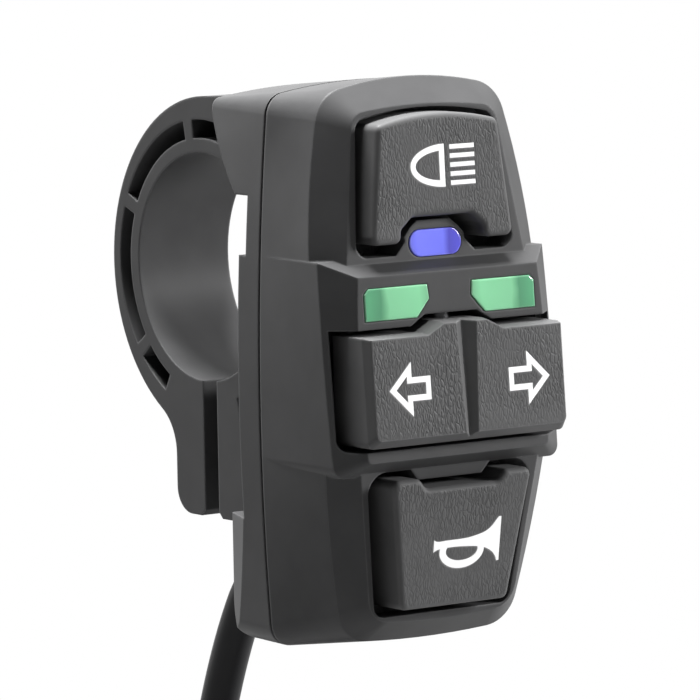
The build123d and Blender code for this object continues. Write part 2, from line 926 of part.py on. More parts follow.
    # Seats and light wells of the lenses
    for side in (1, -1):
        with BuildSketch(front(green_lens_back)):
            with BuildLine():
                green_outline(fit_gap)
            make_face()
            if side < 0:
                mirror(about=Plane.YZ, mode=Mode.REPLACE)
        extrude(amount=reach_depth - green_lens_back, mode=Mode.SUBTRACT)
        with BuildSketch(front(floor_back_depth)):
            with BuildLine():
                green_outline(-lens_ledge)
            make_face()
            if side < 0:
                mirror(about=Plane.YZ, mode=Mode.REPLACE)
        extrude(amount=green_lens_back - floor_back_depth, mode=Mode.SUBTRACT)
    with BuildSketch(front(blue_lens_depth)):
        with Locations((0, blue_lens_centre)):
            SlotOverall(blue_lens_length + 2 * fit_gap, blue_lens_height + 2 * fit_gap)
    extrude(amount=reach_depth - blue_lens_depth, mode=Mode.SUBTRACT)
    with BuildSketch(front(floor_back_depth)):
        with Locations((0, blue_lens_centre)):
            SlotOverall(blue_lens_length - 2 * lens_ledge, blue_lens_height - 2 * lens_ledge)
    extrude(amount=blue_lens_depth - floor_back_depth, mode=Mode.SUBTRACT)
    # Holes for the rocker's pin, above and below the recess
    with BuildSketch(Plane.XY.offset(recess_low - rocker_pin_seat)):
        with Locations((0, -rocker_pin_depth)):
            Circle(rocker_pin_radius + fit_gap)
    extrude(amount=recess_raised_high - recess_low + 2 * rocker_pin_seat, mode=Mode.SUBTRACT)
    # Bosses for the case screws, and posts for the board
    with BuildSketch(front(front_rim_depth)):
        with Locations(*case_screw_places):
            Circle(boss_radius)
    extrude(amount=boss_end_depth - front_rim_depth)
    with BuildSketch(front(board_front_depth)):
        with Locations(*board_screw_places):
            Circle(board_post_radius)
    extrude(amount=floor_back_depth - board_front_depth)
    with BuildSketch(front(front_rim_depth)):
        with Locations(*case_screw_places):
            Circle(case_screw_radius + fit_gap)
    extrude(amount=case_screw_end_depth + fit_gap - front_rim_depth, mode=Mode.SUBTRACT)
    with BuildSketch(front(board_front_depth)):
        with Locations(*board_screw_places):
            Circle(board_screw_radius + fit_gap)
    extrude(amount=board_screw_reach + fit_gap, mode=Mode.SUBTRACT)

front_cover.part.label = "front_cover"
export_step(front_cover.part, "parts/front_cover.step")


# Rear cover: back plate with the hood, the cable bulge and the split clamp ring
hood_radius = ring_radius + hood_gap
hood_low_depth = sqrt(hood_radius**2 - rear_step_high**2)
bulge_bottom = body_bottom - body_bottom_crown
screw_hole_radius = clamp_screw_radius + fit_gap
hood_hollow_radius = hood_radius + hood_wall
core_inner_radius = bar_radius + clamp_band
core_outer_radius = ring_radius - clamp_band
core_middle_radius = (core_inner_radius + core_outer_radius) / 2
rib_angle = degrees(clamp_rib / core_middle_radius)


def ring_sector(first, last):
    """Edges of a coring pocket between two angles of the ring's side view."""
    ends = [
        [(radius * cos(radians(angle)), radius * sin(radians(angle))) for angle in (first, last)]
        for radius in (core_inner_radius, core_outer_radius)
    ]
    CenterArc((0, 0), core_inner_radius, first, last - first)
    CenterArc((0, 0), core_outer_radius, first, last - first)
    Line(ends[0][0], ends[1][0])
    Line(ends[0][1], ends[1][1])


with BuildPart() as rear_cover:
    # Everything behind the parting plane, cut back to the shape seen from the side
    with BuildSketch(front(hood_tip_depth)):
        with BuildLine():
            bowed_outline(rear_side, -body_bottom_crown, rear_top_crown)
        make_face()
        fillet(vertices().group_by(Axis.Y)[-1], rear_corner)
        fillet(vertices().group_by(Axis.Y)[0], body_corner)
    with BuildSketch(front(rear_rim_depth)):
        add(case_outline())
    loft(ruled=True)
    with BuildSketch(Plane.YZ.offset(-body_mid_half_width - overrun)):
        with BuildLine():
            Polyline(
                (-hood_low_depth, rear_step_high),
                (-rear_step_depth, rear_step_high),
                (-rear_step_depth, rear_step_low),
                (-rear_face_depth, rear_step_low),
                (-rear_face_depth, bulge_top),
                (-bulge_depth, bulge_top),
                (-bulge_depth, bulge_bottom - overrun),
                (-hood_tip_depth + overrun, bulge_bottom - overrun),
                (-hood_tip_depth + overrun, hood_tip_height),
                (-hood_tip_depth, hood_tip_height),
            )
            ThreePointArc(
                (-hood_tip_depth, hood_tip_height),
                (
                    -hood_radius * cos(radians(hood_middle_angle)),
                    hood_radius * sin(radians(hood_middle_angle)),
                ),
                (-hood_low_depth, rear_step_high),
            )
        make_face()
    extrude(amount=2 * (body_mid_half_width + overrun), mode=Mode.SUBTRACT)
    # Rounded lower edge of the bulge
    with BuildSketch(Plane.YZ.offset(-body_mid_half_width - overrun)):
        with BuildLine():
            Polyline(
                (-bulge_depth - bulge_round, bulge_bottom),
                (-bulge_depth - bulge_round, bulge_bottom - overrun),
                (-bulge_depth + overrun, bulge_bottom - overrun),
                (-bulge_depth + overrun, bulge_bottom + bulge_round),
                (-bulge_depth, bulge_bottom + bulge_round),
            )
            RadiusArc(
                (-bulge_depth, bulge_bottom + bulge_round),
                (-bulge_depth - bulge_round, bulge_bottom),
                bulge_round,
            )
        make_face()
    extrude(amount=2 * (body_mid_half_width + overrun), mode=Mode.SUBTRACT)
    # Sides of the bulge draw in towards the back
    for side in (-1, 1):
        with BuildSketch(Plane.XY.offset(bulge_top)):
            with BuildLine():
                Polyline(
                    (side * bulge_side_half_width, -bulge_side_depth),
                    (side * bulge_rear_half_width, -bulge_depth + fit_gap),
                    (side * (body_mid_half_width + overrun), -bulge_depth + fit_gap),
                    (side * (body_mid_half_width + overrun), -bulge_side_depth),
                    close=True,
                )
            make_face()
        extrude(amount=bulge_bottom - bulge_top - overrun, mode=Mode.SUBTRACT)
    # Clamp ring, arm, front block and rear ear
    with BuildSketch(Plane.YZ.offset(-clamp_half_width)):
        with Locations((-ring_shift, -ring_drop)):
            Circle(ring_outline_radius)
        with BuildLine():
            Polyline(
                (gap_front, ear_bottom),
                (-rear_face_depth - wall, ear_bottom),
                (-rear_face_depth - wall, arm_high),
                (-hood_tip_depth, arm_high),
                (-ring_shift, ring_outline_radius - ring_drop),
                (0, 0),
                (gap_front, 0),
                close=True,
            )
        make_face()
        with BuildLine():
            Polyline(
                (gap_rear, -bar_radius),
                (gap_rear, ear_bottom),
                (ear_rear, ear_bottom),
                (ear_rear, -bar_radius),
                close=True,
            )
        make_face()
        fillet(vertices().sort_by_distance((ear_rear, ear_root_height))[0], ear_root)
        fillet(vertices().sort_by_distance((ear_rear, ear_bottom))[0], ear_corner)
        Circle(bar_radius, mode=Mode.SUBTRACT)
        with Locations((-split_depth, ear_bottom - overrun)):
            Rectangle(
                split_gap,
                overrun - ear_bottom,
                align=(Align.CENTER, Align.MIN),
                mode=Mode.SUBTRACT,
            )
        chamfer(vertices().sort_by_distance((gap_front, ear_bottom))[0], split_chamfer)
        chamfer(vertices().sort_by_distance((gap_rear, ear_bottom))[0], split_chamfer)
    extrude(amount=2 * clamp_half_width)
    # Coring pockets on both sides of the ring, and one in the front block
    for side in (-1, 1):
        with BuildSketch(Plane.YZ.offset(side * (clamp_half_width - clamp_core))):
            for first, last in zip(rib_angles, rib_angles[1:]):
                with BuildLine():
                    ring_sector(90 - last + rib_angle / 2, 90 - first - rib_angle / 2)
                make_face()
            with BuildLine():
                Polyline(*block_pocket, close=True)
            make_face()
        extrude(amount=side * (clamp_core + overrun), mode=Mode.SUBTRACT)
    # Hole, head recess and nut slot for the clamp screw
    with BuildSketch(front(-ear_rear + clamp_head_sink)):
        with Locations((0, clamp_screw_height)):
            Circle(screw_hole_radius)
    extrude(amount=clamp_screw_length + clamp_screw_radius, mode=Mode.SUBTRACT)
    with BuildSketch(front(-ear_rear + clamp_head_sink)):
        with Locations((0, clamp_screw_height)):
            Circle(clamp_head_radius + running_gap)
    extrude(amount=-clamp_head_sink - overrun, mode=Mode.SUBTRACT)
    with BuildSketch(front(clamp_nut_depth - fit_gap)):
        with Locations((-nut_corner_radius - fit_gap, clamp_screw_height)):
            Rectangle(
                nut_corner_radius + clamp_half_width + overrun,
                clamp_nut_across + 2 * fit_gap,
                align=(Align.MIN, Align.CENTER),
            )
    extrude(amount=clamp_nut_thickness + 2 * fit_gap, mode=Mode.SUBTRACT)
    # Main hollow, hood hollow and bulge hollow
    with BuildSketch(front(rear_inner_depth)):
        with BuildLine():
            bowed_outline(side_between(bulge_top + wall, rear_step_low - wall), inset=wall)
        make_face()
    extrude(amount=rear_rim_depth - rear_inner_depth, mode=Mode.SUBTRACT)
    with BuildSketch(Plane.YZ.offset(-lamp_face_low_half_width)):
        with BuildLine():
            hood_hollow_arc = ThreePointArc(
                (-hood_hollow_depth, sqrt(hood_hollow_radius**2 - hood_hollow_depth**2)),
                (
                    -hood_hollow_radius * cos(radians(hood_hollow_angle)),
                    hood_hollow_radius * sin(radians(hood_hollow_angle)),
                ),
                (-sqrt(hood_hollow_radius**2 - hood_hollow_low**2), hood_hollow_low),
            )
            Polyline(
                hood_hollow_arc @ 1,
                (-rear_rim_depth - overrun, hood_hollow_low),
                (-rear_rim_depth - overrun, body_top - wall),
                (-hood_hollow_depth, body_top - wall),
                hood_hollow_arc @ 0,
            )
        make_face()
    extrude(amount=2 * lamp_face_low_half_width, mode=Mode.SUBTRACT)
    with BuildSketch(front(bulge_inner_depth)):
        with BuildLine():
            bowed_outline(side_between(bulge_hollow_low, bulge_hollow_high), inset=bulge_inner_inset)
        make_face()
        fillet(vertices(), inner_corner)
    extrude(amount=rear_rim_depth - bulge_inner_depth, mode=Mode.SUBTRACT)
    # Seats for the case screws, meeting the front cover's bosses
    with BuildSketch(front(rear_inner_depth)):
        with Locations(*case_screw_places):
            Circle(seat_boss_radius)
    extrude(amount=rear_rim_depth - rear_inner_depth)
    with BuildSketch(front(rear_rim_depth)):
        with Locations(*case_screw_places):
            Circle(boss_radius)
    extrude(amount=seal_thickness)
    with BuildSketch(front(case_screw_seat_depth)):
        with Locations(*case_screw_places):
            Circle(case_screw_radius + fit_gap)
    extrude(amount=front_rim_depth - case_screw_seat_depth, mode=Mode.SUBTRACT)
    with BuildSketch(front(case_screw_seat_depth)):
        with Locations(*case_screw_places):
            Circle(case_screw_head_radius + running_gap)
    extrude(amount=rear_face_depth - wall - case_screw_seat_depth, mode=Mode.SUBTRACT)
    # Hole for the cable's sleeve
    with BuildSketch(front(bulge_inner_depth)):
        with Locations((0, outlet_height)):
            Circle(sleeve_neck_radius)
    extrude(amount=bulge_depth - bulge_inner_depth, mode=Mode.SUBTRACT)

rear_cover.part.label = "rear_cover"
export_step(rear_cover.part, "parts/rear_cover.step")


# Seal between the covers
with BuildPart() as case_seal:
    with BuildSketch(front(rear_rim_depth)):
        add(case_outline(seal_inset))
        add(case_outline(seal_inset + seal_width), mode=Mode.SUBTRACT)
    extrude(amount=seal_thickness)

case_seal.part.label = "case_seal"
export_step(case_seal.part, "parts/case_seal.step")


# Four case screws, driven in from behind
with BuildPart() as case_screws:
    with BuildSketch(front(case_screw_seat_depth)):
        with Locations(*case_screw_places):
            Circle(case_screw_radius)
    extrude(amount=case_screw_end_depth - case_screw_seat_depth)
    with BuildSketch(front(case_screw_seat_depth)):
        with Locations(*case_screw_places):
            Circle(case_screw_head_radius)
    extrude(amount=-case_screw_head_height)
    fillet(edges().group_by(Axis.Y)[-1], case_screw_head_round)
    with BuildSketch(front(case_screw_seat_depth - case_screw_head_height)):
        with Locations(*case_screw_places):
            Rectangle(case_screw_slot_length, case_screw_drive)
            Rectangle(case_screw_drive, case_screw_slot_length)
    extrude(amount=case_screw_drive, mode=Mode.SUBTRACT)

case_screws.part.label = "case_screws"
export_step(case_screws.part, "parts/case_screws.step")


# Clamp screw with a hexagon socket, and its nut
clamp_seat_depth = -ear_rear + clamp_head_sink

with BuildPart() as clamp_screw:
    with BuildSketch(front(clamp_seat_depth)):
        with Locations((0, clamp_screw_height)):
            Circle(clamp_screw_radius)
    extrude(amount=clamp_screw_length)
    chamfer(edges().group_by(Axis.Y)[0], clamp_screw_tip)
    with BuildSketch(front(clamp_seat_depth)):
        with Locations((0, clamp_screw_height)):
            Circle(clamp_head_radius)
    extrude(amount=-clamp_head_height)
    fillet(edges().group_by(Axis.Y)[-1], clamp_head_round)
    with BuildSketch(front(clamp_seat_depth - clamp_head_height)):
        with Locations((0, clamp_screw_height)):
            RegularPolygon(clamp_socket_across / 2, hexagon_sides, major_radius=False)
    extrude(amount=clamp_socket_depth, mode=Mode.SUBTRACT)

clamp_screw.part.label = "clamp_screw"
export_step(clamp_screw.part, "parts/clamp_screw.step")

with BuildPart() as clamp_nut:
    with BuildSketch(front(clamp_nut_depth)):
        with Locations((0, clamp_screw_height)):
            RegularPolygon(clamp_nut_across / 2, hexagon_sides, major_radius=False)
            Circle(screw_hole_radius, mode=Mode.SUBTRACT)
    extrude(amount=clamp_nut_thickness)

clamp_nut.part.label = "clamp_nut"
export_step(clamp_nut.part, "parts/clamp_nut.step")


# Light button: hollow cap with a flange behind the opening and a post on its switch
light_taper = (light_bottom_half_width - light_top_half_width) / (light_top - light_bottom)
light_hollow_low = light_notch_top + button_wall
light_hollow_high = light_top - button_wall
light_symbol_plane = leaning(light_face_depth - symbol_sink, light_face_lean)

with BuildPart() as light_button:
    with BuildSketch(front(light_flange_depth)):
        with BuildLine():
            light_outline()
        make_face()
        fillet(vertices(), button_corner)
    extrude(amount=reach_depth - light_flange_depth)
    split(bisect_by=leaning(light_face_depth, light_face_lean), keep=Keep.BOTTOM)
    fillet(faces().sort_by(Axis.Y)[0].edges(), button_edge)
    with BuildSketch(front(light_flange_depth)):
        with BuildLine():
            light_flange()
        make_face()
        fillet(vertices().group_by(Axis.Y)[-1], inner_corner)
    extrude(amount=button_flange)
    with BuildSketch(front(light_flange_depth)):
        with BuildLine():
            tapered_outline(
                light_hollow_low,
                light_hollow_high,
                light_bottom_half_width - light_taper * (light_hollow_low - light_bottom) - button_wall,
                light_bottom_half_width - light_taper * (light_hollow_high - light_bottom) - button_wall,
            )
        make_face()
    extrude(amount=light_inside_depth - light_flange_depth, mode=Mode.SUBTRACT)
    with BuildSketch(front(light_plunger_end + fit_gap)):
        with Locations((0, light_switch_height)):
            Circle(post_radius)
    extrude(amount=light_inside_depth - light_plunger_end)
    with BuildSketch(light_symbol_plane):
        add(lamp_symbol_face())
    extrude(amount=symbol_sink + button_edge, mode=Mode.SUBTRACT)

light_button.part.label = "light_button"
export_step(light_button.part, "parts/light_button.step")

with BuildPart() as light_symbol:
    with BuildSketch(light_symbol_plane):
        add(lamp_symbol_face())
    extrude(amount=symbol_sink + symbol_proud)

light_symbol.part.label = "light_symbol"
export_step(light_symbol.part, "parts/light_symbol.step")


# Push switch behind the light button
with BuildPart() as light_switch:
    with BuildSketch(front(board_front_depth)):
        with Locations((0, light_switch_height)):
            Rectangle(light_switch_side, light_switch_side)
    extrude(amount=light_switch_body)
    with BuildSketch(front(board_front_depth + light_switch_body)):
        with Locations((0, light_switch_height)):
            Circle(light_plunger_radius + running_gap)
    extrude(amount=-plunger_sink - light_travel - running_gap, mode=Mode.SUBTRACT)

light_switch.part.label = "light_switch"
export_step(light_switch.part, "parts/light_switch.step")

with BuildPart() as light_switch_plunger:
    with BuildSketch(front(board_front_depth + light_switch_body - plunger_sink)):
        with Locations((0, light_switch_height)):
            Circle(light_plunger_radius)
    extrude(amount=light_plunger_end - board_front_depth - light_switch_body + plunger_sink)

light_switch_plunger.part.label = "light_switch_plunger"
export_step(light_switch_plunger.part, "parts/light_switch_plunger.step")


# Horn button: like the light button, with its notch at the top
horn_taper = (horn_top_half_width - horn_bottom_half_width) / (horn_top - horn_bottom)
horn_hollow_low = horn_bottom + button_wall
horn_hollow_high = horn_notch_floor - button_wall
horn_symbol_plane = leaning(horn_button_face_depth - symbol_sink, horn_button_face_lean)

with BuildPart() as horn_button:
    with BuildSketch(front(horn_flange_depth)):
        with BuildLine():
            horn_outline()
        make_face()
        fillet(vertices(), button_corner)
    extrude(amount=reach_depth - horn_flange_depth)
    split(bisect_by=leaning(horn_button_face_depth, horn_button_face_lean), keep=Keep.BOTTOM)
    fillet(faces().sort_by(Axis.Y)[0].edges(), button_edge)
    with BuildSketch(front(horn_flange_depth)):
        with BuildLine():
            tapered_outline(
                horn_opening_bottom - button_lip,
                horn_flange_top,
                horn_opening_bottom_half_width + button_lip,
                horn_opening_top_half_width + button_lip,
            )
        make_face()
        fillet(vertices(), inner_corner)
    extrude(amount=button_flange)
    with BuildSketch(front(horn_flange_depth)):
        with BuildLine():
            tapered_outline(
                horn_hollow_low,
                horn_hollow_high,
                horn_bottom_half_width + horn_taper * (horn_hollow_low - horn_bottom) - button_wall,
                horn_bottom_half_width + horn_taper * (horn_hollow_high - horn_bottom) - button_wall,
            )
        make_face()
    extrude(amount=horn_inside_depth - horn_flange_depth, mode=Mode.SUBTRACT)
    with BuildSketch(front(horn_plunger_end + fit_gap)):
        with Locations((0, horn_switch_height)):
            Circle(post_radius)
    extrude(amount=horn_inside_depth - horn_plunger_end)
    with BuildSketch(horn_symbol_plane):
        add(bugle_face())
    extrude(amount=symbol_sink + button_edge, mode=Mode.SUBTRACT)

horn_button.part.label = "horn_button"
export_step(horn_button.part, "parts/horn_button.step")

with BuildPart() as horn_symbol:
    with BuildSketch(horn_symbol_plane):
        add(bugle_face())
    extrude(amount=symbol_sink + symbol_proud)

horn_symbol.part.label = "horn_symbol"
export_step(horn_symbol.part, "parts/horn_symbol.step")


# Tact switch behind the horn button
with BuildPart() as horn_switch:
    with BuildSketch(front(board_front_depth)):
        with Locations((0, horn_switch_height)):
            Rectangle(horn_switch_side, horn_switch_side)
    extrude(amount=horn_switch_body)
    with BuildSketch(front(board_front_depth + horn_switch_body)):
        with Locations((0, horn_switch_height)):
            Circle(horn_plunger_radius + running_gap)
    extrude(amount=-plunger_sink - horn_travel - running_gap, mode=Mode.SUBTRACT)

horn_switch.part.label = "horn_switch"
export_step(horn_switch.part, "parts/horn_switch.step")

with BuildPart() as horn_switch_plunger:
    with BuildSketch(front(board_front_depth + horn_switch_body - plunger_sink)):
        with Locations((0, horn_switch_height)):
            Circle(horn_plunger_radius)
    extrude(amount=horn_plunger_end - board_front_depth - horn_switch_body + plunger_sink)

horn_switch_plunger.part.label = "horn_switch_plunger"
export_step(horn_switch_plunger.part, "parts/horn_switch_plunger.step")


# Turn signal rocker with bevelled ends, a groove, a pin boss and two prongs
turn_symbol_plane = leaning(rocker_face_depth - symbol_sink, turn_face_lean)

with BuildPart() as turn_rocker:
    with BuildSketch(front(rocker_back_depth)):
        with BuildLine():
            raised_outline(
                rocker_half_width,
                rocker_low,
                rocker_high,
                rocker_raised_half_width,
                rocker_raised_foot,
                rocker_raised_high,
            )
        make_face()
        fillet(vertices().group_by(Axis.Y)[0], rocker_corner)
    extrude(amount=reach_depth - rocker_back_depth)
    split(bisect_by=leaning(rocker_face_depth - rocker_bevel_depth, turn_face_lean), keep=Keep.BOTTOM)
    rocker_base = faces().sort_by(Axis.Y)[0]
    with BuildSketch(leaning(rocker_face_depth, turn_face_lean), mode=Mode.PRIVATE) as rocker_face:
        with BuildLine():
            raised_outline(
                rocker_half_width - rocker_bevel_end,
                rocker_low + rocker_bevel_low,
                rocker_high - rocker_bevel_high,
                rocker_raised_half_width,
                rocker_raised_foot,
                rocker_raised_high - rocker_bevel_high,
            )
        make_face()
        fillet(vertices().group_by(Axis.Y)[0], rocker_corner)
    loft([rocker_base, rocker_face.sketch], ruled=True)
    # Groove down the middle of the face, narrower and shallower towards its foot
    for height, half, depth in (
        (rocker_raised_high + overrun, groove_high_half_width, groove_high_depth),
        (rocker_low - overrun, groove_low_half_width, groove_low_depth),
    ):
        level = rocker_face_depth - height * tan(radians(turn_face_lean))
        with BuildSketch(Plane.XY.offset(height)):
            with BuildLine():
                Polyline(
                    (-2 * half, -level - depth),
                    (0, depth - level),
                    (2 * half, -level - depth),
                    close=True,
                )
            make_face()
    loft(ruled=True, mode=Mode.SUBTRACT)
    # Hollows either side of the pin
    for side in (-1, 1):
        with BuildSketch(front(rocker_back_depth)):
            with BuildLine():
                Polyline(
                    (side * rocker_boss_radius, rocker_low + rocker_wall),
                    (side * (rocker_half_width - rocker_wall), rocker_low + rocker_wall),
                    (side * (rocker_half_width - rocker_wall), rocker_high - rocker_wall),
                    (side * rocker_boss_radius, rocker_high - rocker_wall),
                    close=True,
                )
            make_face()
        extrude(amount=rocker_hollow_depth - rocker_back_depth, mode=Mode.SUBTRACT)
    # Pin boss, prongs and pin hole
    with BuildSketch(Plane.XY.offset(rocker_low)):
        with Locations((0, -rocker_pin_depth)):
            Circle(rocker_boss_radius)
    extrude(amount=rocker_raised_high - rocker_low)
    with BuildSketch(front(prong_end_depth)):
        for side in (-1, 1):
            with Locations((side * (prong_gap + prong_thickness / 2), arrow_axis)):
                Rectangle(prong_thickness, prong_height)
    extrude(amount=rocker_pin_depth - prong_end_depth)
    with BuildSketch(Plane.XY.offset(rocker_low - overrun)):
        with Locations((0, -rocker_pin_depth)):
            Circle(rocker_pin_radius + running_gap)
    extrude(amount=rocker_raised_high - rocker_low + 2 * overrun, mode=Mode.SUBTRACT)
    with BuildSketch(turn_symbol_plane):
        add(arrow_faces())
    extrude(amount=symbol_sink + button_edge, mode=Mode.SUBTRACT)

turn_rocker.part.label = "turn_rocker"
export_step(turn_rocker.part, "parts/turn_rocker.step")

with BuildPart() as turn_symbols:
    with BuildSketch(turn_symbol_plane):
        add(arrow_faces())
    extrude(amount=symbol_sink + symbol_proud)

turn_symbols.part.label = "turn_symbols"
export_step(turn_symbols.part, "parts/turn_symbols.step")

with BuildPart() as rocker_pin:
    with BuildSketch(Plane.XY.offset(recess_low - rocker_pin_seat + fit_gap)):
        with Locations((0, -rocker_pin_depth)):
            Circle(rocker_pin_radius)
    extrude(amount=recess_raised_high - recess_low + 2 * (rocker_pin_seat - fit_gap))

rocker_pin.part.label = "rocker_pin"
export_step(rocker_pin.part, "parts/rocker_pin.step")


# Slide switch behind the rocker, moved by the prongs
with BuildPart() as turn_switch:
    with BuildSketch(front(board_front_depth)):
        with Locations((0, arrow_axis)):
            Rectangle(slide_switch_length, slide_switch_width)
    extrude(amount=slide_switch_body)
    with BuildSketch(front(board_front_depth + slide_switch_body)):
        with Locations((0, arrow_axis)):
            Rectangle(
                2 * (slider_half_width + slider_travel + running_gap),
                2 * (slider_half_height + running_gap),
            )
    extrude(amount=-slider_sink - running_gap, mode=Mode.SUBTRACT)

turn_switch.part.label = "turn_switch"
export_step(turn_switch.part, "parts/turn_switch.step")

with BuildPart() as turn_switch_slider:
    with BuildSketch(front(board_front_depth + slide_switch_body - slider_sink)):
        with Locations((0, arrow_axis)):
            Rectangle(2 * slider_half_width, 2 * slider_half_height)
    extrude(amount=slider_end_depth - board_front_depth - slide_switch_body + slider_sink)

turn_switch_slider.part.label = "turn_switch_slider"
export_step(turn_switch_slider.part, "parts/turn_switch_slider.step")


# Lenses
with BuildPart() as blue_lens:
    with BuildSketch(front(blue_lens_depth)):
        with Locations((0, blue_lens_centre)):
            SlotOverall(blue_lens_length, blue_lens_height)
    extrude(amount=reach_depth - blue_lens_depth)
    split(bisect_by=leaning(lamp_face_depth + lens_proud, lamp_face_lean), keep=Keep.BOTTOM)
    fillet(faces().sort_by(Axis.Y)[0].edges(), lens_edge)

blue_lens.part.label = "blue_lens"
export_step(blue_lens.part, "parts/blue_lens.step")

with BuildPart() as right_lens:
    with BuildSketch(front(green_lens_back)):
        with BuildLine():
            green_outline()
        make_face()
    extrude(amount=reach_depth - green_lens_back)
    split(bisect_by=leaning(turn_face_depth + lens_proud, turn_face_lean), keep=Keep.BOTTOM)
    fillet(faces().sort_by(Axis.Y)[0].edges(), lens_edge)

right_lens.part.label = "right_lens"
export_step(right_lens.part, "parts/right_lens.step")

with BuildPart() as left_lens:
    add(mirror(right_lens.part, about=Plane.YZ))

left_lens.part.label = "left_lens"
export_step(left_lens.part, "parts/left_lens.step")


# Lamps on the board behind the lenses
with BuildPart() as blue_lamp:
    with BuildSketch(front(board_front_depth)):
        with Locations((0, blue_lens_centre)):
            Rectangle(lamp_chip_length, lamp_chip_height)
    extrude(amount=lamp_chip_depth)
    chamfer(edges().group_by(Axis.Y)[0], lamp_chip_chamfer)

blue_lamp.part.label = "blue_lamp"
export_step(blue_lamp.part, "parts/blue_lamp.step")

with BuildPart() as green_lamps:
    with BuildSketch(front(board_front_depth)):
        with Locations((-green_lamp_place, green_lamp_height), (green_lamp_place, green_lamp_height)):
            Rectangle(lamp_chip_length, lamp_chip_height)
    extrude(amount=lamp_chip_depth)
    chamfer(edges().group_by(Axis.Y)[0], lamp_chip_chamfer)

green_lamps.part.label = "green_lamps"
export_step(green_lamps.part, "parts/green_lamps.step")


# Circuit board and its two screws
with BuildPart() as circuit_board:
    with BuildSketch(front(board_back_depth)):
        add(case_outline(wall + board_margin))
        with Locations(*case_screw_places):
            Circle(boss_radius + board_margin, mode=Mode.SUBTRACT)
        with Locations(*board_screw_places):
            Circle(board_screw_radius + fit_gap, mode=Mode.SUBTRACT)
    extrude(amount=board_thickness)

circuit_board.part.label = "circuit_board"
export_step(circuit_board.part, "parts/circuit_board.step")

with BuildPart() as board_screws:
    with BuildSketch(front(board_back_depth)):
        with Locations(*board_screw_places):
            Circle(board_screw_radius)
    extrude(amount=board_thickness + board_screw_reach)
    with BuildSketch(front(board_back_depth)):
        with Locations(*board_screw_places):
            Circle(board_screw_head_radius)
    extrude(amount=-board_screw_head_height)

board_screws.part.label = "board_screws"
export_step(board_screws.part, "parts/board_screws.step")


# Outlet sleeve: flange inside, neck through the wall, collar and tip outside
with BuildPart() as cable_grommet:
    for radius, first, last in (
        (sleeve_inner_radius, bulge_inner_depth, bulge_inner_depth + sleeve_flange),
        (sleeve_neck_radius, bulge_depth, bulge_inner_depth),
        (sleeve_flange_radius, bulge_depth - sleeve_flange, bulge_depth),
        (sleeve_tip_radius, sleeve_end_depth, bulge_depth - sleeve_flange),
    ):
        with BuildSketch(front(first)):
            with Locations((0, outlet_height)):
                Circle(radius)
        extrude(amount=last - first)

cable_grommet.part.label = "cable_grommet"
export_step(cable_grommet.part, "parts/cable_grommet.step")


# Leads from the sleeve to the board
lead_start_depth = bulge_inner_depth + sleeve_flange
lead_shift = hypot(lead_rise, (lead_end_pitch - lead_start_pitch) * (lead_count - 1) / 2)
lead_turn = atan2(lead_shift, board_back_depth - lead_start_depth - 2 * lead_straight)
lead_bend = lead_run_share * lead_straight / tan(lead_turn / 2)

with BuildPart() as lead_wires:
    for index in range(lead_count):
        order = index - (lead_count - 1) / 2
        start = (order * lead_start_pitch, -lead_start_depth, outlet_height)
        end = (order * lead_end_pitch, -board_back_depth, outlet_height + lead_rise)
        with BuildLine() as lead_path:
            FilletPolyline(
                start,
                (start[0], -lead_start_depth - lead_straight, start[2]),
                (end[0], -board_back_depth + lead_straight, end[2]),
                end,
                radius=lead_bend,
            )
        with BuildSketch(front(lead_start_depth)):
            with Locations((start[0], start[2])):
                Circle(lead_radius)
        sweep(path=lead_path.line)

lead_wires.part.label = "lead_wires"
export_step(lead_wires.part, "parts/lead_wires.step")


# Cable: out of the sleeve, down behind the case and into the coil
coil_start = (0, coil_side, coil_height + cable_diameter)
cable_points = [(0, along, height) for along, height in cable_corners] + [coil_start]

with BuildPart() as cable:
    with BuildLine() as cable_path:
        FilletPolyline(*cable_points, radius=cable_bends)
    with BuildSketch(front(sleeve_end_depth)):
        with Locations((0, outlet_height)):
            Circle(cable_radius)
    sweep(path=cable_path.line)

cable.part.label = "cable"
export_step(cable.part, "parts/cable.step")


# Coil: the loops wind in on one layer and back out on the next
def coil_place(turn):
    """Point of the coil's centre line after some turns."""
    radius = coil_radius - coil_pitch * min(turn, coil_turns - turn)
    climb = (turn - (coil_turns - coil_climb_turns) / 2) / coil_climb_turns
    layer = coil_pitch * min(max(climb, 0), 1)
    angle = 2 * pi * turn
    return Vector(layer, coil_centre + radius * cos(angle), coil_height - radius * sin(angle))


def coil_heading(turn):
    """Direction of the coil's centre line after some turns, level with the layer at its joints."""
    angle = 2 * pi * turn
    radius = coil_radius - coil_pitch * min(turn, coil_turns - turn)
    around = Vector(0, -sin(angle), -cos(angle)) * (2 * pi * radius)
    if turn in (0, coil_turns):
        return around.normalized()
    if turn == coil_turns / 2:
        return (around + Vector(coil_pitch / coil_climb_turns, 0, 0)).normalized()
    outward = coil_pitch if turn > coil_turns / 2 else -coil_pitch
    return (around + Vector(0, cos(angle), -sin(angle)) * outward).normalized()


def biarc_middle(first, first_heading, last, last_heading):
    """Point and heading where two tangent arcs meet between two places with given headings."""
    chord = last - first
    headings = first_heading + last_heading
    square = 2 * first_heading.dot(last_heading) - 2
    straight = -2 * chord.dot(headings)
    constant = chord.dot(chord)
    reach = (-straight - sqrt(straight**2 - 4 * square * constant)) / (2 * square)
    point = (first + last + (first_heading - last_heading) * reach) / 2
    return point, (chord - headings * reach).normalized()


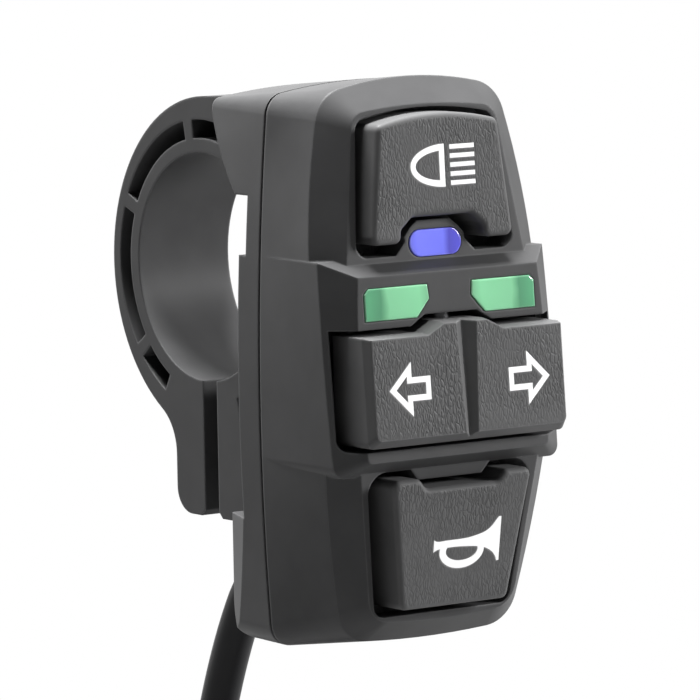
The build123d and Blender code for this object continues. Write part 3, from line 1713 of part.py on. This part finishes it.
with BuildPart() as cable_coil:
    with BuildLine() as coil_path:
        Line(coil_start, coil_place(0))
        for step in range(coil_steps):
            begin = coil_turns * step / coil_steps
            finish = coil_turns * (step + 1) / coil_steps
            middle, middle_heading = biarc_middle(
                coil_place(begin),
                coil_heading(begin),
                coil_place(finish),
                coil_heading(finish),
            )
            TangentArc(coil_place(begin), middle, tangent=coil_heading(begin))
            TangentArc(middle, coil_place(finish), tangent=middle_heading)
        Line(coil_place(coil_turns), (coil_pitch, coil_side, coil_end))
    with BuildSketch(Plane.XY.offset(coil_start[2])):
        with Locations((coil_start[0], coil_start[1])):
            Circle(cable_radius)
    sweep(path=coil_path.line)

cable_coil.part.label = "cable_coil"
export_step(cable_coil.part, "parts/cable_coil.step")


# Tail from the coil to the connector
tail_points = [
    (coil_pitch, coil_side, coil_end),
    (coil_pitch, coil_side, coil_end - tail_drop),
    (coil_pitch, coil_side + tail_shift, coil_end - tail_drop - tail_slant),
    (coil_pitch, coil_side + tail_shift, coil_end - tail_drop - tail_slant - tail_end_drop),
]

with BuildPart() as cable_tail:
    with BuildLine() as tail_path:
        FilletPolyline(*tail_points, radius=tail_bend)
    with BuildSketch(Plane.XY.offset(coil_end)):
        with Locations((coil_pitch, coil_side)):
            Circle(cable_radius)
    sweep(path=tail_path.line)

cable_tail.part.label = "cable_tail"
export_step(cable_tail.part, "parts/cable_tail.step")


# Tie round the loops at the top of the coil
tie_inner = coil_radius - coil_pitch * tie_last_turn - cable_radius - tie_gap
tie_outer = coil_radius - coil_pitch * tie_first_turn + cable_radius + tie_gap
tie_middle = coil_height + (tie_inner + tie_outer) / 2

with BuildPart() as cable_tie:
    with BuildSketch(Plane.XZ.offset(-coil_centre - tie_width / 2)):
        with Locations((coil_pitch / 2, tie_middle)):
            RectangleRounded(
                coil_pitch + 2 * (cable_radius + tie_gap + tie_thickness),
                tie_outer - tie_inner + 2 * tie_thickness,
                tie_corner,
            )
            RectangleRounded(
                coil_pitch + 2 * (cable_radius + tie_gap),
                tie_outer - tie_inner,
                tie_corner / 2,
                mode=Mode.SUBTRACT,
            )
        with Locations((coil_pitch + cable_radius + tie_gap + tie_thickness / 2, tie_middle)):
            Rectangle(tie_head_thickness, tie_head_length, align=(Align.MIN, Align.CENTER))
    extrude(amount=tie_width)

cable_tie.part.label = "cable_tie"
export_step(cable_tie.part, "parts/cable_tie.step")


# Connector at the end of the cable
connector_place = (coil_pitch, coil_side + tail_shift)
neck_top = tail_points[-1][2]
connector_top = neck_top - connector_neck_height
connector_bottom = connector_top - connector_height
contact_places = [
    (connector_place[0], connector_place[1] + contact_pitch * (index - (lead_count - 1) / 2))
    for index in range(lead_count)
]
cell_top = connector_bottom + connector_cell_depth

with BuildPart() as connector_housing:
    with BuildSketch(Plane.XY.offset(connector_bottom)):
        with Locations(connector_place):
            RectangleRounded(connector_thickness, connector_width, connector_corner)
    extrude(amount=connector_height)
    with BuildSketch(Plane.XY.offset(connector_top)):
        with Locations(connector_place):
            Circle(connector_neck_radius)
    extrude(amount=connector_neck_height)
    with BuildSketch(Plane.XY.offset(connector_top - connector_latch_height)):
        with Locations((connector_place[0] + connector_thickness / 2, connector_place[1])):
            Rectangle(
                connector_latch_thickness,
                connector_latch_width,
                align=(Align.MIN, Align.CENTER),
            )
    extrude(amount=connector_latch_height)
    with BuildSketch(Plane.XY.offset(connector_bottom)):
        with Locations(*contact_places):
            Rectangle(connector_cell_thickness, connector_cell_width)
    extrude(amount=connector_cell_depth, mode=Mode.SUBTRACT)

connector_housing.part.label = "connector_housing"
export_step(connector_housing.part, "parts/connector_housing.step")

with BuildPart() as connector_contacts:
    with BuildSketch(Plane.XY.offset(cell_top - contact_height)):
        with Locations(*contact_places):
            Rectangle(
                connector_cell_thickness - 2 * fit_gap,
                connector_cell_width - 2 * fit_gap,
            )
            Rectangle(contact_socket, contact_socket, mode=Mode.SUBTRACT)
    extrude(amount=contact_socket_depth)
    with BuildSketch(Plane.XY.offset(cell_top - contact_height + contact_socket_depth)):
        with Locations(*contact_places):
            Rectangle(
                connector_cell_thickness - 2 * fit_gap,
                connector_cell_width - 2 * fit_gap,
            )
    extrude(amount=contact_height - contact_socket_depth)

connector_contacts.part.label = "connector_contacts"
export_step(connector_contacts.part, "parts/connector_contacts.step")


# Lengths, volumes and the coil's least gap
section = pi * cable_radius**2
for name, piece, path in (
    ("cable", cable, cable_path),
    ("cable_coil", cable_coil, coil_path),
    ("cable_tail", cable_tail, tail_path),
):
    length = path.wires()[0].length
    print(name, "radius", cable_radius, "length", round(length, 1))
    print(name, "volume", round(piece.part.volume, 1), "section by length", round(section * length, 1))

coil_wire = coil_path.wires()[0]
coil_length = coil_wire.length
samples = [coil_wire @ (index / coil_samples) for index in range(coil_samples + 1)]
apart = int(coil_samples * pi * cable_diameter / coil_length)
least_gap = min(
    (samples[index] - samples[other]).length
    for index in range(coil_samples + 1)
    for other in range(index + apart, coil_samples + 1)
)
print("coil least gap", round(least_gap - cable_diameter, 3))
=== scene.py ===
"""Looks of the handlebar switch cluster: camera, cable, materials, floor and soft studio light."""
import math

import bpy
from mathutils import Matrix, Vector


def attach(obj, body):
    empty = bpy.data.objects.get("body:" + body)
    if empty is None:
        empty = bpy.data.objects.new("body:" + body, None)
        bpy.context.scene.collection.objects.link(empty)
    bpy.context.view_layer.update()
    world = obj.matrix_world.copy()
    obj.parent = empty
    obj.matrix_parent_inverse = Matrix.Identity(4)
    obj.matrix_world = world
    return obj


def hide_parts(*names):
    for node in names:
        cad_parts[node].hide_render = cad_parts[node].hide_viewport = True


MM = 0.001

# Camera at the photograph's viewing angle
CAMERA_PLACE = (-330.6, -470.4, 54.7)
CAMERA_FORWARD = (0.585177, 0.803474, -0.109537)
CAMERA_UP = (0.079127, 0.077858, 0.993819)
CAMERA_LENS = 305.73
CAMERA_SENSOR = 36.0
CAMERA_NEAREST = 0.05
CAMERA_FARTHEST = 20.0

# Cable: corners of its route in millimetres, then the coil's size
CABLE_DIAMETER = 3.8
CABLE_ROUTE = [(0, -10.6, -27.6), (0, -2.0, -27.6), (0, 4.9, -38.9), (0, 10.1, -55.0)]
COIL_RADIUS = 22.5
COIL_PITCH = 4.3
COIL_TURNS = 3
COIL_CENTRE = (-12.4, -69.5)
COIL_CORNERS = 12
TAIL_ROUTE = [(4.3, 10.1, -84.3), (4.3, 4.0, -97.3), (4.3, 4.0, -107.3)]

# Studio: world's fill, and how far from the part the floor's glow starts and ends rising
WORLD_FILL = 0.02
FLOOR_GLOW = 0.75
FLOOR_SHADE_REACH = 0.2
FLOOR_WHITE_REACH = 0.42
FLOOR_SIZE = 6.0
FLOOR_HEIGHT = -0.1235
FLOOR_GREY = 0.2

# Lights: name, place in metres, size and power; all face one point of the part
LIGHTS = [
    ("key", (0.6, -0.42, 0.2), 0.2, 8.8),
    ("back_left", (-0.34, 0.62, 0.1), 0.25, 0.9),
    ("top", (0.0, 0.12, 0.65), 0.3, 27.0),
]
LIGHT_AIM = (0, -0.02, -0.01)

# Plastics: reflections, noise scales per metre, edge radius in millimetres and where an edge's mask ends
# (the mask paints lighter edges: painted highlight, on plastics partly also wear)
SPECULAR = 0.08
BEVEL_SAMPLES = 6
MOTTLE_SCALE = 260.0
SHEEN_SCALE = 90.0
SPARK_SCALE = 5200.0
SPARK_STRENGTH = 0.12
SPARK_RELIEF = 0.03
CASE_EDGE = 0.3
EDGE_LIGHTEN_FULL = 0.84
EDGE_LIGHTEN_NONE = 0.99

# Leather grain: stretch, scales per metre, relief in millimetres, and the normal where it starts and is full
GRAIN_STRETCH = (1.3, 1.0, 0.5)
GRAIN_WARP_SCALE = 1900.0
GRAIN_WARP = 0.0005
GRAIN_SCALE = 2200.0
GRAIN_RELIEF = 0.09
GRAIN_START = -0.93
GRAIN_FULL = -0.985
GRAIN_PATCH_SCALE = 160.0
GRAIN_PATCH_LOW = (0.25, 0.25, 0.25)
# Painted shade: how far the grain's creases are darkened in colour
GRAIN_CREASE_SHADE = 0.22
CREASE_WIDTH = 0.22

# Lenses: wobble of the bands, coat, edge radius in millimetres, and how pale the painted highlight on the
# edges is
LENS_WOBBLE_SCALE = 420.0
LENS_WOBBLE = 0.12
LENS_ROUGHNESS = 0.16
LENS_COAT = 0.4
LENS_COAT_ROUGHNESS = 0.08
LENS_SUBSURFACE = 0.25
LENS_EDGE = 0.22
LENS_HIGHLIGHT_BASE = 0.35
LENS_HIGHLIGHT_SHARE = 0.6
BLUE_HALF_WIDTH = 3.0
GREEN_MIDDLE = 6.2
GREEN_HALF_WIDTH = 3.7

# Metals: relief in millimetres, its strength and the scale of the marks; then the print's wear
METAL_RELIEF = 0.02
METAL_STRENGTH = 0.1
METAL_SCALE = 2500.0
PRINT_SCALE = 1500.0

# Linear colours
CHARCOAL = (0.058, 0.058, 0.059)
BUTTON_GREY = (0.088, 0.088, 0.089)
PRINT_WHITE = (0.92, 0.92, 0.92)
SEAL_BLACK = (0.012, 0.012, 0.012)
CABLE_BLACK = (0.02, 0.02, 0.021)
GREEN_PALE = (0.2, 0.56, 0.3)
GREEN_DEEP = (0.06, 0.27, 0.13)
BLUE_PALE = (0.15, 0.17, 0.9)
BLUE_DEEP = (0.05, 0.045, 0.5)
SWITCH_BLACK = (0.02, 0.02, 0.02)
PLUNGER_RED = (0.35, 0.03, 0.02)
LEAD_RED = (0.3, 0.03, 0.025)
BOARD_GREEN = (0.02, 0.13, 0.05)
TIE_BLACK = (0.025, 0.025, 0.025)
CONNECTOR_WHITE = (0.62, 0.62, 0.58)
LAMP_CLEAR = (0.7, 0.68, 0.5)
ZINC = (0.55, 0.56, 0.56)
OXIDE = (0.05, 0.05, 0.052)
BRASS = (0.62, 0.46, 0.2)

# Share of a noise's range between a material's darker and lighter tone
TONE_DARK = 0.3
TONE_LIGHT = 0.7


def add_camera():
    data = bpy.data.cameras.new("camera")
    data.lens = CAMERA_LENS
    data.sensor_width = CAMERA_SENSOR
    data.clip_start = CAMERA_NEAREST
    data.clip_end = CAMERA_FARTHEST
    camera = bpy.data.objects.new("camera", data)
    forward = Vector(CAMERA_FORWARD).normalized()
    up = Vector(CAMERA_UP).normalized()
    right = forward.cross(up)
    camera.matrix_world = Matrix.Translation(Vector(CAMERA_PLACE) * MM) @ Matrix(
        (right, up, -forward)
    ).transposed().to_4x4()
    bpy.context.collection.objects.link(camera)
    bpy.context.scene.camera = camera


def coil_corners():
    """Control points of the coil: two flat spirals, joined by a climb on their innermost half turn."""
    points = []
    for step in range(COIL_TURNS * COIL_CORNERS):
        turn = (step + 0.5) / COIL_CORNERS
        radius = COIL_RADIUS - COIL_PITCH * min(turn, COIL_TURNS - turn)
        radius /= math.cos(math.pi / COIL_CORNERS)
        climb = min(max((turn - COIL_TURNS / 2) * 2 + 0.5, 0), 1)
        angle = 2 * math.pi * turn
        points.append(
            (
                COIL_PITCH * climb,
                COIL_CENTRE[0] + radius * math.cos(angle),
                COIL_CENTRE[1] - radius * math.sin(angle),
            )
        )
    return points


def add_cable():
    points = CABLE_ROUTE + coil_corners() + TAIL_ROUTE
    data = bpy.data.curves.new("cable_line", "CURVE")
    data.dimensions = "3D"
    spline = data.splines.new("NURBS")
    spline.points.add(len(points) - 1)
    for point, place in zip(spline.points, points):
        point.co = (*[value * MM for value in place], 1)
        # The curve's box grows by its points' radii, so they hold the cable's radius
        point.radius = CABLE_DIAMETER / 2 * MM
    spline.order_u = 3
    spline.use_endpoint_u = True
    spline.resolution_u = 10
    data.bevel_depth = 1.0
    data.bevel_resolution = 8
    data.use_fill_caps = True
    cable = bpy.data.objects.new("cable_sheath", data)
    bpy.context.collection.objects.link(cable)
    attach(cable, "case")
    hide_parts("cable", "cable_coil", "cable_tail")
    return cable


def new_material(name):
    """Empty node material with its Principled shader, and shorthands to add nodes and links."""
    material = bpy.data.materials.new(name)
    material.use_nodes = True
    tree = material.node_tree
    shader = tree.nodes["Principled BSDF"]

    def node(kind, **values):
        made = tree.nodes.new(kind)
        for key, value in values.items():
            if hasattr(made, key):
                setattr(made, key, value)
            else:
                made.inputs[key.replace("_", " ")].default_value = value
        return made

    def link(source, target):
        tree.links.new(source, target)

    return material, shader, node, link


def ramp(node, stops):
    """Colour ramp with the given places and colours."""
    made = node("ShaderNodeValToRGB")
    elements = made.color_ramp.elements
    elements[0].position = stops[0][0]
    elements[-1].position = stops[-1][0]
    for place, colour in stops[1:-1]:
        elements.new(place)
    for element, (place, colour) in zip(elements, stops):
        element.color = (*colour, 1)
    return made


def shade(colour, factor):
    return tuple(min(1.0, channel * factor) for channel in colour)


def edges(node, link, radius):
    """Rounded normal, and a mask that is white where it departs from the flat one."""
    rounded = node("ShaderNodeBevel", samples=BEVEL_SAMPLES)
    rounded.inputs["Radius"].default_value = radius * MM
    flat = node("ShaderNodeNewGeometry")
    parallel = node("ShaderNodeVectorMath", operation="DOT_PRODUCT")
    link(rounded.outputs["Normal"], parallel.inputs[0])
    link(flat.outputs["Normal"], parallel.inputs[1])
    edge = ramp(node, [(EDGE_LIGHTEN_FULL, (1, 1, 1)), (EDGE_LIGHTEN_NONE, (0, 0, 0))])
    link(parallel.outputs["Value"], edge.inputs["Fac"])
    return rounded, edge


def plastic(name, colour, roughness=0.45, rim=1.6, grain=0.0, rough_spread=0.06):
    """Moulded plastic: fine texture, faint mottling, lighter edges (partly rubbed wear, partly painted
    highlight) and optional leather grain with painted shade in its creases.
    """
    material, shader, node, link = new_material(name)
    place = node("ShaderNodeTexCoord")
    mottle = node("ShaderNodeTexNoise", Scale=MOTTLE_SCALE, Detail=3.0)
    link(place.outputs["Object"], mottle.inputs["Vector"])
    tone = ramp(
        node, [(TONE_DARK, shade(colour, 0.93)), (TONE_LIGHT, shade(colour, 1.07))]
    )
    link(mottle.outputs["Fac"], tone.inputs["Fac"])
    rounded, edge = edges(node, link, CASE_EDGE)
    # Painted highlight, partly also wear: the edges are mixed towards a lighter copy of the colour
    rubbed_and_highlit = node("ShaderNodeMixRGB", blend_type="MIX")
    link(edge.outputs["Color"], rubbed_and_highlit.inputs["Fac"])
    link(tone.outputs["Color"], rubbed_and_highlit.inputs["Color1"])
    rubbed_and_highlit.inputs["Color2"].default_value = (*shade(colour, rim), 1)
    link(rubbed_and_highlit.outputs["Color"], shader.inputs["Base Color"])
    sheen = node("ShaderNodeTexNoise", Scale=SHEEN_SCALE, Detail=2.0)
    link(place.outputs["Object"], sheen.inputs["Vector"])
    spread = node("ShaderNodeMapRange")
    spread.inputs["To Min"].default_value = roughness - rough_spread
    spread.inputs["To Max"].default_value = roughness + rough_spread
    link(sheen.outputs["Fac"], spread.inputs["Value"])
    link(spread.outputs["Result"], shader.inputs["Roughness"])
    spark = node("ShaderNodeTexNoise", Scale=SPARK_SCALE, Detail=2.0)
    link(place.outputs["Object"], spark.inputs["Vector"])
    fine = node("ShaderNodeBump")
    fine.inputs["Strength"].default_value = SPARK_STRENGTH
    fine.inputs["Distance"].default_value = SPARK_RELIEF * MM
    link(spark.outputs["Fac"], fine.inputs["Height"])
    link(rounded.outputs["Normal"], fine.inputs["Normal"])
    last = fine
    if grain:
        stretch = node("ShaderNodeMapping")
        stretch.inputs["Scale"].default_value = GRAIN_STRETCH
        link(place.outputs["Object"], stretch.inputs["Vector"])
        warp = node("ShaderNodeTexNoise", Scale=GRAIN_WARP_SCALE, Detail=2.0)
        link(stretch.outputs["Vector"], warp.inputs["Vector"])
        bent = node("ShaderNodeMixRGB", blend_type="ADD")
        bent.inputs["Fac"].default_value = GRAIN_WARP
        link(stretch.outputs["Vector"], bent.inputs["Color1"])
        link(warp.outputs["Color"], bent.inputs["Color2"])
        cells = node("ShaderNodeTexVoronoi", feature="DISTANCE_TO_EDGE", Scale=GRAIN_SCALE)
        link(bent.outputs["Color"], cells.inputs["Vector"])
        creases = ramp(node, [(0.0, (0, 0, 0)), (CREASE_WIDTH, (1, 1, 1))])
        link(cells.outputs["Distance"], creases.inputs["Fac"])
        # The grain lies on the front face alone and fades towards its edges
        axes = node("ShaderNodeSeparateXYZ")
        link(rounded.outputs["Normal"], axes.inputs["Vector"])
        facing = node("ShaderNodeMapRange")
        facing.inputs["From Min"].default_value = GRAIN_START
        facing.inputs["From Max"].default_value = GRAIN_FULL
        link(axes.outputs["Y"], facing.inputs["Value"])
        patchy = node("ShaderNodeTexNoise", Scale=GRAIN_PATCH_SCALE, Detail=2.0)
        link(place.outputs["Object"], patchy.inputs["Vector"])
        patches = ramp(node, [(0.35, GRAIN_PATCH_LOW), (0.62, (1, 1, 1))])
        link(patchy.outputs["Fac"], patches.inputs["Fac"])
        cover = node("ShaderNodeMath", operation="MULTIPLY")
        link(facing.outputs["Result"], cover.inputs[0])
        link(patches.outputs["Color"], cover.inputs[1])
        depth = node("ShaderNodeMath", operation="MULTIPLY")
        depth.inputs[1].default_value = grain
        link(cover.outputs["Value"], depth.inputs[0])
        leather = node("ShaderNodeBump")
        link(depth.outputs["Value"], leather.inputs["Strength"])
        leather.inputs["Distance"].default_value = GRAIN_RELIEF * MM
        link(creases.outputs["Color"], leather.inputs["Height"])
        # Painted shade: the colour is darkened in the grain's creases
        dark = node("ShaderNodeMath", operation="MULTIPLY")
        dark.inputs[1].default_value = GRAIN_CREASE_SHADE
        link(cover.outputs["Value"], dark.inputs[0])
        painted_crease_shade = node("ShaderNodeMixRGB", blend_type="MULTIPLY")
        link(dark.outputs["Value"], painted_crease_shade.inputs["Fac"])
        link(rubbed_and_highlit.outputs["Color"], painted_crease_shade.inputs["Color1"])
        link(creases.outputs["Color"], painted_crease_shade.inputs["Color2"])
        link(painted_crease_shade.outputs["Color"], shader.inputs["Base Color"])
        link(fine.outputs["Normal"], leather.inputs["Normal"])
        last = leather
    link(last.outputs["Normal"], shader.inputs["Normal"])
    shader.inputs["Specular IOR Level"].default_value = SPECULAR
    return material


def lens(name, pale, deep, deep_side, middle, half):
    """Translucent lens with a paler middle, a deeper band towards one end and a painted highlight along its
    edges.
    """
    material, shader, node, link = new_material(name)
    place = node("ShaderNodeTexCoord")
    axes = node("ShaderNodeSeparateXYZ")
    link(place.outputs["Object"], axes.inputs["Vector"])
    along = node("ShaderNodeMapRange")
    along.inputs["From Min"].default_value = (middle - deep_side * half) * MM
    along.inputs["From Max"].default_value = (middle + deep_side * half) * MM
    link(axes.outputs["X"], along.inputs["Value"])
    wobble = node("ShaderNodeTexNoise", Scale=LENS_WOBBLE_SCALE, Detail=1.0)
    link(place.outputs["Object"], wobble.inputs["Vector"])
    shift = node("ShaderNodeMath", operation="MULTIPLY_ADD")
    shift.inputs[1].default_value = LENS_WOBBLE
    link(wobble.outputs["Fac"], shift.inputs[0])
    link(along.outputs["Result"], shift.inputs[2])
    bands = ramp(
        node,
        [
            (0.05, shade(pale, 0.8)),
            (0.2, shade(pale, 1.12)),
            (0.7, pale),
            (0.82, deep),
            (1.0, shade(deep, 1.25)),
        ],
    )
    link(shift.outputs["Value"], bands.inputs["Fac"])
    rounded, edge = edges(node, link, LENS_EDGE)
    # Painted highlight: the lens edges are mixed towards a paler colour
    rim = node("ShaderNodeMixRGB", blend_type="MIX")
    link(edge.outputs["Color"], rim.inputs["Fac"])
    link(bands.outputs["Color"], rim.inputs["Color1"])
    edge_highlight_colour = [LENS_HIGHLIGHT_BASE + LENS_HIGHLIGHT_SHARE * channel for channel in pale]
    rim.inputs["Color2"].default_value = (*edge_highlight_colour, 1)
    link(rim.outputs["Color"], shader.inputs["Base Color"])
    shader.inputs["Roughness"].default_value = LENS_ROUGHNESS
    shader.inputs["Coat Weight"].default_value = LENS_COAT
    shader.inputs["Coat Roughness"].default_value = LENS_COAT_ROUGHNESS
    shader.inputs["Subsurface Weight"].default_value = LENS_SUBSURFACE
    shader.inputs["Subsurface Radius"].default_value = (0.6, 0.6, 0.6)
    shader.inputs["Subsurface Scale"].default_value = 0.001
    link(rounded.outputs["Normal"], shader.inputs["Normal"])
    return material


def print_white():
    material, shader, node, link = new_material("white_print")
    place = node("ShaderNodeTexCoord")
    wear = node("ShaderNodeTexNoise", Scale=PRINT_SCALE, Detail=3.0)
    link(place.outputs["Object"], wear.inputs["Vector"])
    tone = ramp(node, [(TONE_DARK, shade(PRINT_WHITE, 0.93)), (TONE_LIGHT, PRINT_WHITE)])
    link(wear.outputs["Fac"], tone.inputs["Fac"])
    link(tone.outputs["Color"], shader.inputs["Base Color"])
    shader.inputs["Roughness"].default_value = 0.5
    return material


def metal(name, colour, roughness, scale):
    """Plated or oiled steel with fine drawn marks."""
    material, shader, node, link = new_material(name)
    place = node("ShaderNodeTexCoord")
    marks = node("ShaderNodeTexNoise", Scale=scale, Detail=4.0)
    link(place.outputs["Object"], marks.inputs["Vector"])
    tone = ramp(node, [(TONE_DARK, shade(colour, 0.85)), (TONE_LIGHT, shade(colour, 1.1))])
    link(marks.outputs["Fac"], tone.inputs["Fac"])
    link(tone.outputs["Color"], shader.inputs["Base Color"])
    spread = node("ShaderNodeMapRange")
    spread.inputs["To Min"].default_value = roughness * 0.8
    spread.inputs["To Max"].default_value = roughness * 1.25
    link(marks.outputs["Fac"], spread.inputs["Value"])
    link(spread.outputs["Result"], shader.inputs["Roughness"])
    shader.inputs["Metallic"].default_value = 1.0
    bump = node("ShaderNodeBump")
    bump.inputs["Strength"].default_value = METAL_STRENGTH
    bump.inputs["Distance"].default_value = METAL_RELIEF * MM
    link(marks.outputs["Fac"], bump.inputs["Height"])
    link(bump.outputs["Normal"], shader.inputs["Normal"])
    return material


def dress(name, material):
    """Gives a CAD node's object one material."""
    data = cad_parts[name].data
    data.materials.clear()
    data.materials.append(material)


def add_light(name, place, size, power):
    """Square soft box that faces the part."""
    data = bpy.data.lights.new(name, "AREA")
    data.shape = "SQUARE"
    data.size = size
    data.energy = power
    lamp = bpy.data.objects.new(name, data)
    lamp.location = place
    lamp.rotation_mode = "QUATERNION"
    lamp.rotation_quaternion = (Vector(LIGHT_AIM) - Vector(place)).to_track_quat("-Z", "Y")
    bpy.context.collection.objects.link(lamp)


def seen_share(tree):
    """Socket that is 1 for camera, reflection and transmission rays."""
    rays = tree.nodes.new("ShaderNodeLightPath")
    last = rays.outputs["Is Camera Ray"]
    for kind in ("Is Glossy Ray", "Is Transmission Ray"):
        either = tree.nodes.new("ShaderNodeMath")
        either.operation = "MAXIMUM"
        tree.links.new(last, either.inputs[0])
        tree.links.new(rays.outputs[kind], either.inputs[1])
        last = either.outputs["Value"]
    return last


def studio():
    """White world for the camera and for reflections, soft fill for the part, and a pale floor."""
    world = bpy.data.worlds.new("studio")
    bpy.context.scene.world = world
    world.use_nodes = True
    tree = world.node_tree
    tree.nodes.clear()
    output = tree.nodes.new("ShaderNodeOutputWorld")
    seen = tree.nodes.new("ShaderNodeBackground")
    seen.inputs["Color"].default_value = (1, 1, 1, 1)
    fill = tree.nodes.new("ShaderNodeBackground")
    fill.inputs["Color"].default_value = (1, 1, 1, 1)
    fill.inputs["Strength"].default_value = WORLD_FILL
    choose = tree.nodes.new("ShaderNodeMixShader")
    tree.links.new(seen_share(tree), choose.inputs["Fac"])
    tree.links.new(fill.outputs["Background"], choose.inputs[1])
    tree.links.new(seen.outputs["Background"], choose.inputs[2])
    tree.links.new(choose.outputs["Shader"], output.inputs["Surface"])

    bpy.ops.mesh.primitive_plane_add(size=FLOOR_SIZE, location=(0, 0, FLOOR_HEIGHT))
    floor = bpy.context.object
    floor.name = "floor"
    material = bpy.data.materials.new("floor_white")
    material.use_nodes = True
    tree = material.node_tree
    tree.nodes.clear()
    output = tree.nodes.new("ShaderNodeOutputMaterial")
    matt = tree.nodes.new("ShaderNodeBsdfDiffuse")
    matt.inputs["Color"].default_value = (FLOOR_GREY, FLOOR_GREY, FLOOR_GREY, 1)
    glow = tree.nodes.new("ShaderNodeEmission")
    glow.inputs["Color"].default_value = (1, 1, 1, 1)
    blend = tree.nodes.new("ShaderNodeMixShader")
    # The glow is weaker below the part, where its shadow falls
    place = tree.nodes.new("ShaderNodeTexCoord")
    away = tree.nodes.new("ShaderNodeVectorMath")
    away.operation = "LENGTH"
    tree.links.new(place.outputs["Object"], away.inputs[0])
    level = tree.nodes.new("ShaderNodeMapRange")
    level.inputs["From Min"].default_value = FLOOR_SHADE_REACH
    level.inputs["From Max"].default_value = FLOOR_WHITE_REACH
    level.inputs["To Min"].default_value = FLOOR_GLOW
    tree.links.new(away.outputs["Value"], level.inputs["Value"])
    share = tree.nodes.new("ShaderNodeMath")
    share.operation = "MULTIPLY"
    tree.links.new(seen_share(tree), share.inputs[0])
    tree.links.new(level.outputs["Result"], share.inputs[1])
    tree.links.new(share.outputs["Value"], blend.inputs["Fac"])
    tree.links.new(matt.outputs["BSDF"], blend.inputs[1])
    tree.links.new(glow.outputs["Emission"], blend.inputs[2])
    tree.links.new(blend.outputs["Shader"], output.inputs["Surface"])
    floor.data.materials.append(material)


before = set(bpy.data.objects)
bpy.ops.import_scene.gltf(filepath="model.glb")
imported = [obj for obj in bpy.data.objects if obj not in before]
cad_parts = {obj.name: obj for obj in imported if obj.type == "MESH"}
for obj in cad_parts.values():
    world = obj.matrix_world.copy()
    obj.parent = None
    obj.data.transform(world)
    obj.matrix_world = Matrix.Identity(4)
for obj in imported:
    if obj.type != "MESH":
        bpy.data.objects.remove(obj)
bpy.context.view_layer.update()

add_camera()
cable = add_cable()

# rim: how much lighter the edges are, partly wear and partly painted highlight
case = plastic("case_plastic", CHARCOAL, roughness=0.42, rim=2.1)
button = plastic("button_plastic", BUTTON_GREY, roughness=0.46, rim=2.1, grain=0.5)
seal = plastic("seal_rubber", SEAL_BLACK, roughness=0.7, rim=1.0)
sheath = plastic("cable_rubber", CABLE_BLACK, roughness=0.38, rim=1.0)
switch_black = plastic("switch_plastic", SWITCH_BLACK, roughness=0.5)
plunger_red = plastic("plunger_plastic", PLUNGER_RED, roughness=0.35)
lead_red = plastic("lead_insulation", LEAD_RED, roughness=0.4, rim=1.0)
board_green = plastic("board_laminate", BOARD_GREEN, roughness=0.25)
tie_black = plastic("tie_plastic", TIE_BLACK, roughness=0.4)
connector_white = plastic("connector_plastic", CONNECTOR_WHITE, roughness=0.4, rim=1.1)
lamp_clear = plastic("lamp_resin", LAMP_CLEAR, roughness=0.2, rim=1.1)
zinc = metal("zinc_steel", ZINC, 0.32, METAL_SCALE)
oxide = metal("black_steel", OXIDE, 0.38, METAL_SCALE)
brass = metal("contact_brass", BRASS, 0.28, METAL_SCALE)
white = print_white()
cable.data.materials.append(sheath)

for name in ("front_cover", "rear_cover"):
    dress(name, case)
for name in ("light_button", "turn_rocker", "horn_button"):
    dress(name, button)
for name in ("light_symbol", "turn_symbols", "horn_symbol"):
    dress(name, white)
for name in ("case_screws", "clamp_nut", "board_screws"):
    dress(name, zinc)
for name in ("light_switch", "turn_switch", "horn_switch"):
    dress(name, switch_black)
for name in ("light_switch_plunger", "turn_switch_slider", "horn_switch_plunger"):
    dress(name, plunger_red)
for name in ("blue_lamp", "green_lamps"):
    dress(name, lamp_clear)
dress("case_seal", seal)
for name in ("clamp_screw", "rocker_pin"):
    dress(name, oxide)
dress("circuit_board", board_green)
dress("lead_wires", lead_red)
dress("cable_grommet", sheath)
dress("cable_tie", tie_black)
dress("connector_housing", connector_white)
dress("connector_contacts", brass)
dress("blue_lens", lens("blue_lens", BLUE_PALE, BLUE_DEEP, 1, 0.0, BLUE_HALF_WIDTH))
for end, side in (("right", 1), ("left", -1)):
    green = lens(
        f"{end}_green_lens", GREEN_PALE, GREEN_DEEP, side, side * GREEN_MIDDLE, GREEN_HALF_WIDTH
    )
    dress(f"{end}_lens", green)

studio()
for light in LIGHTS:
    add_light(*light)

bpy.context.scene.view_settings.view_transform = "Standard"
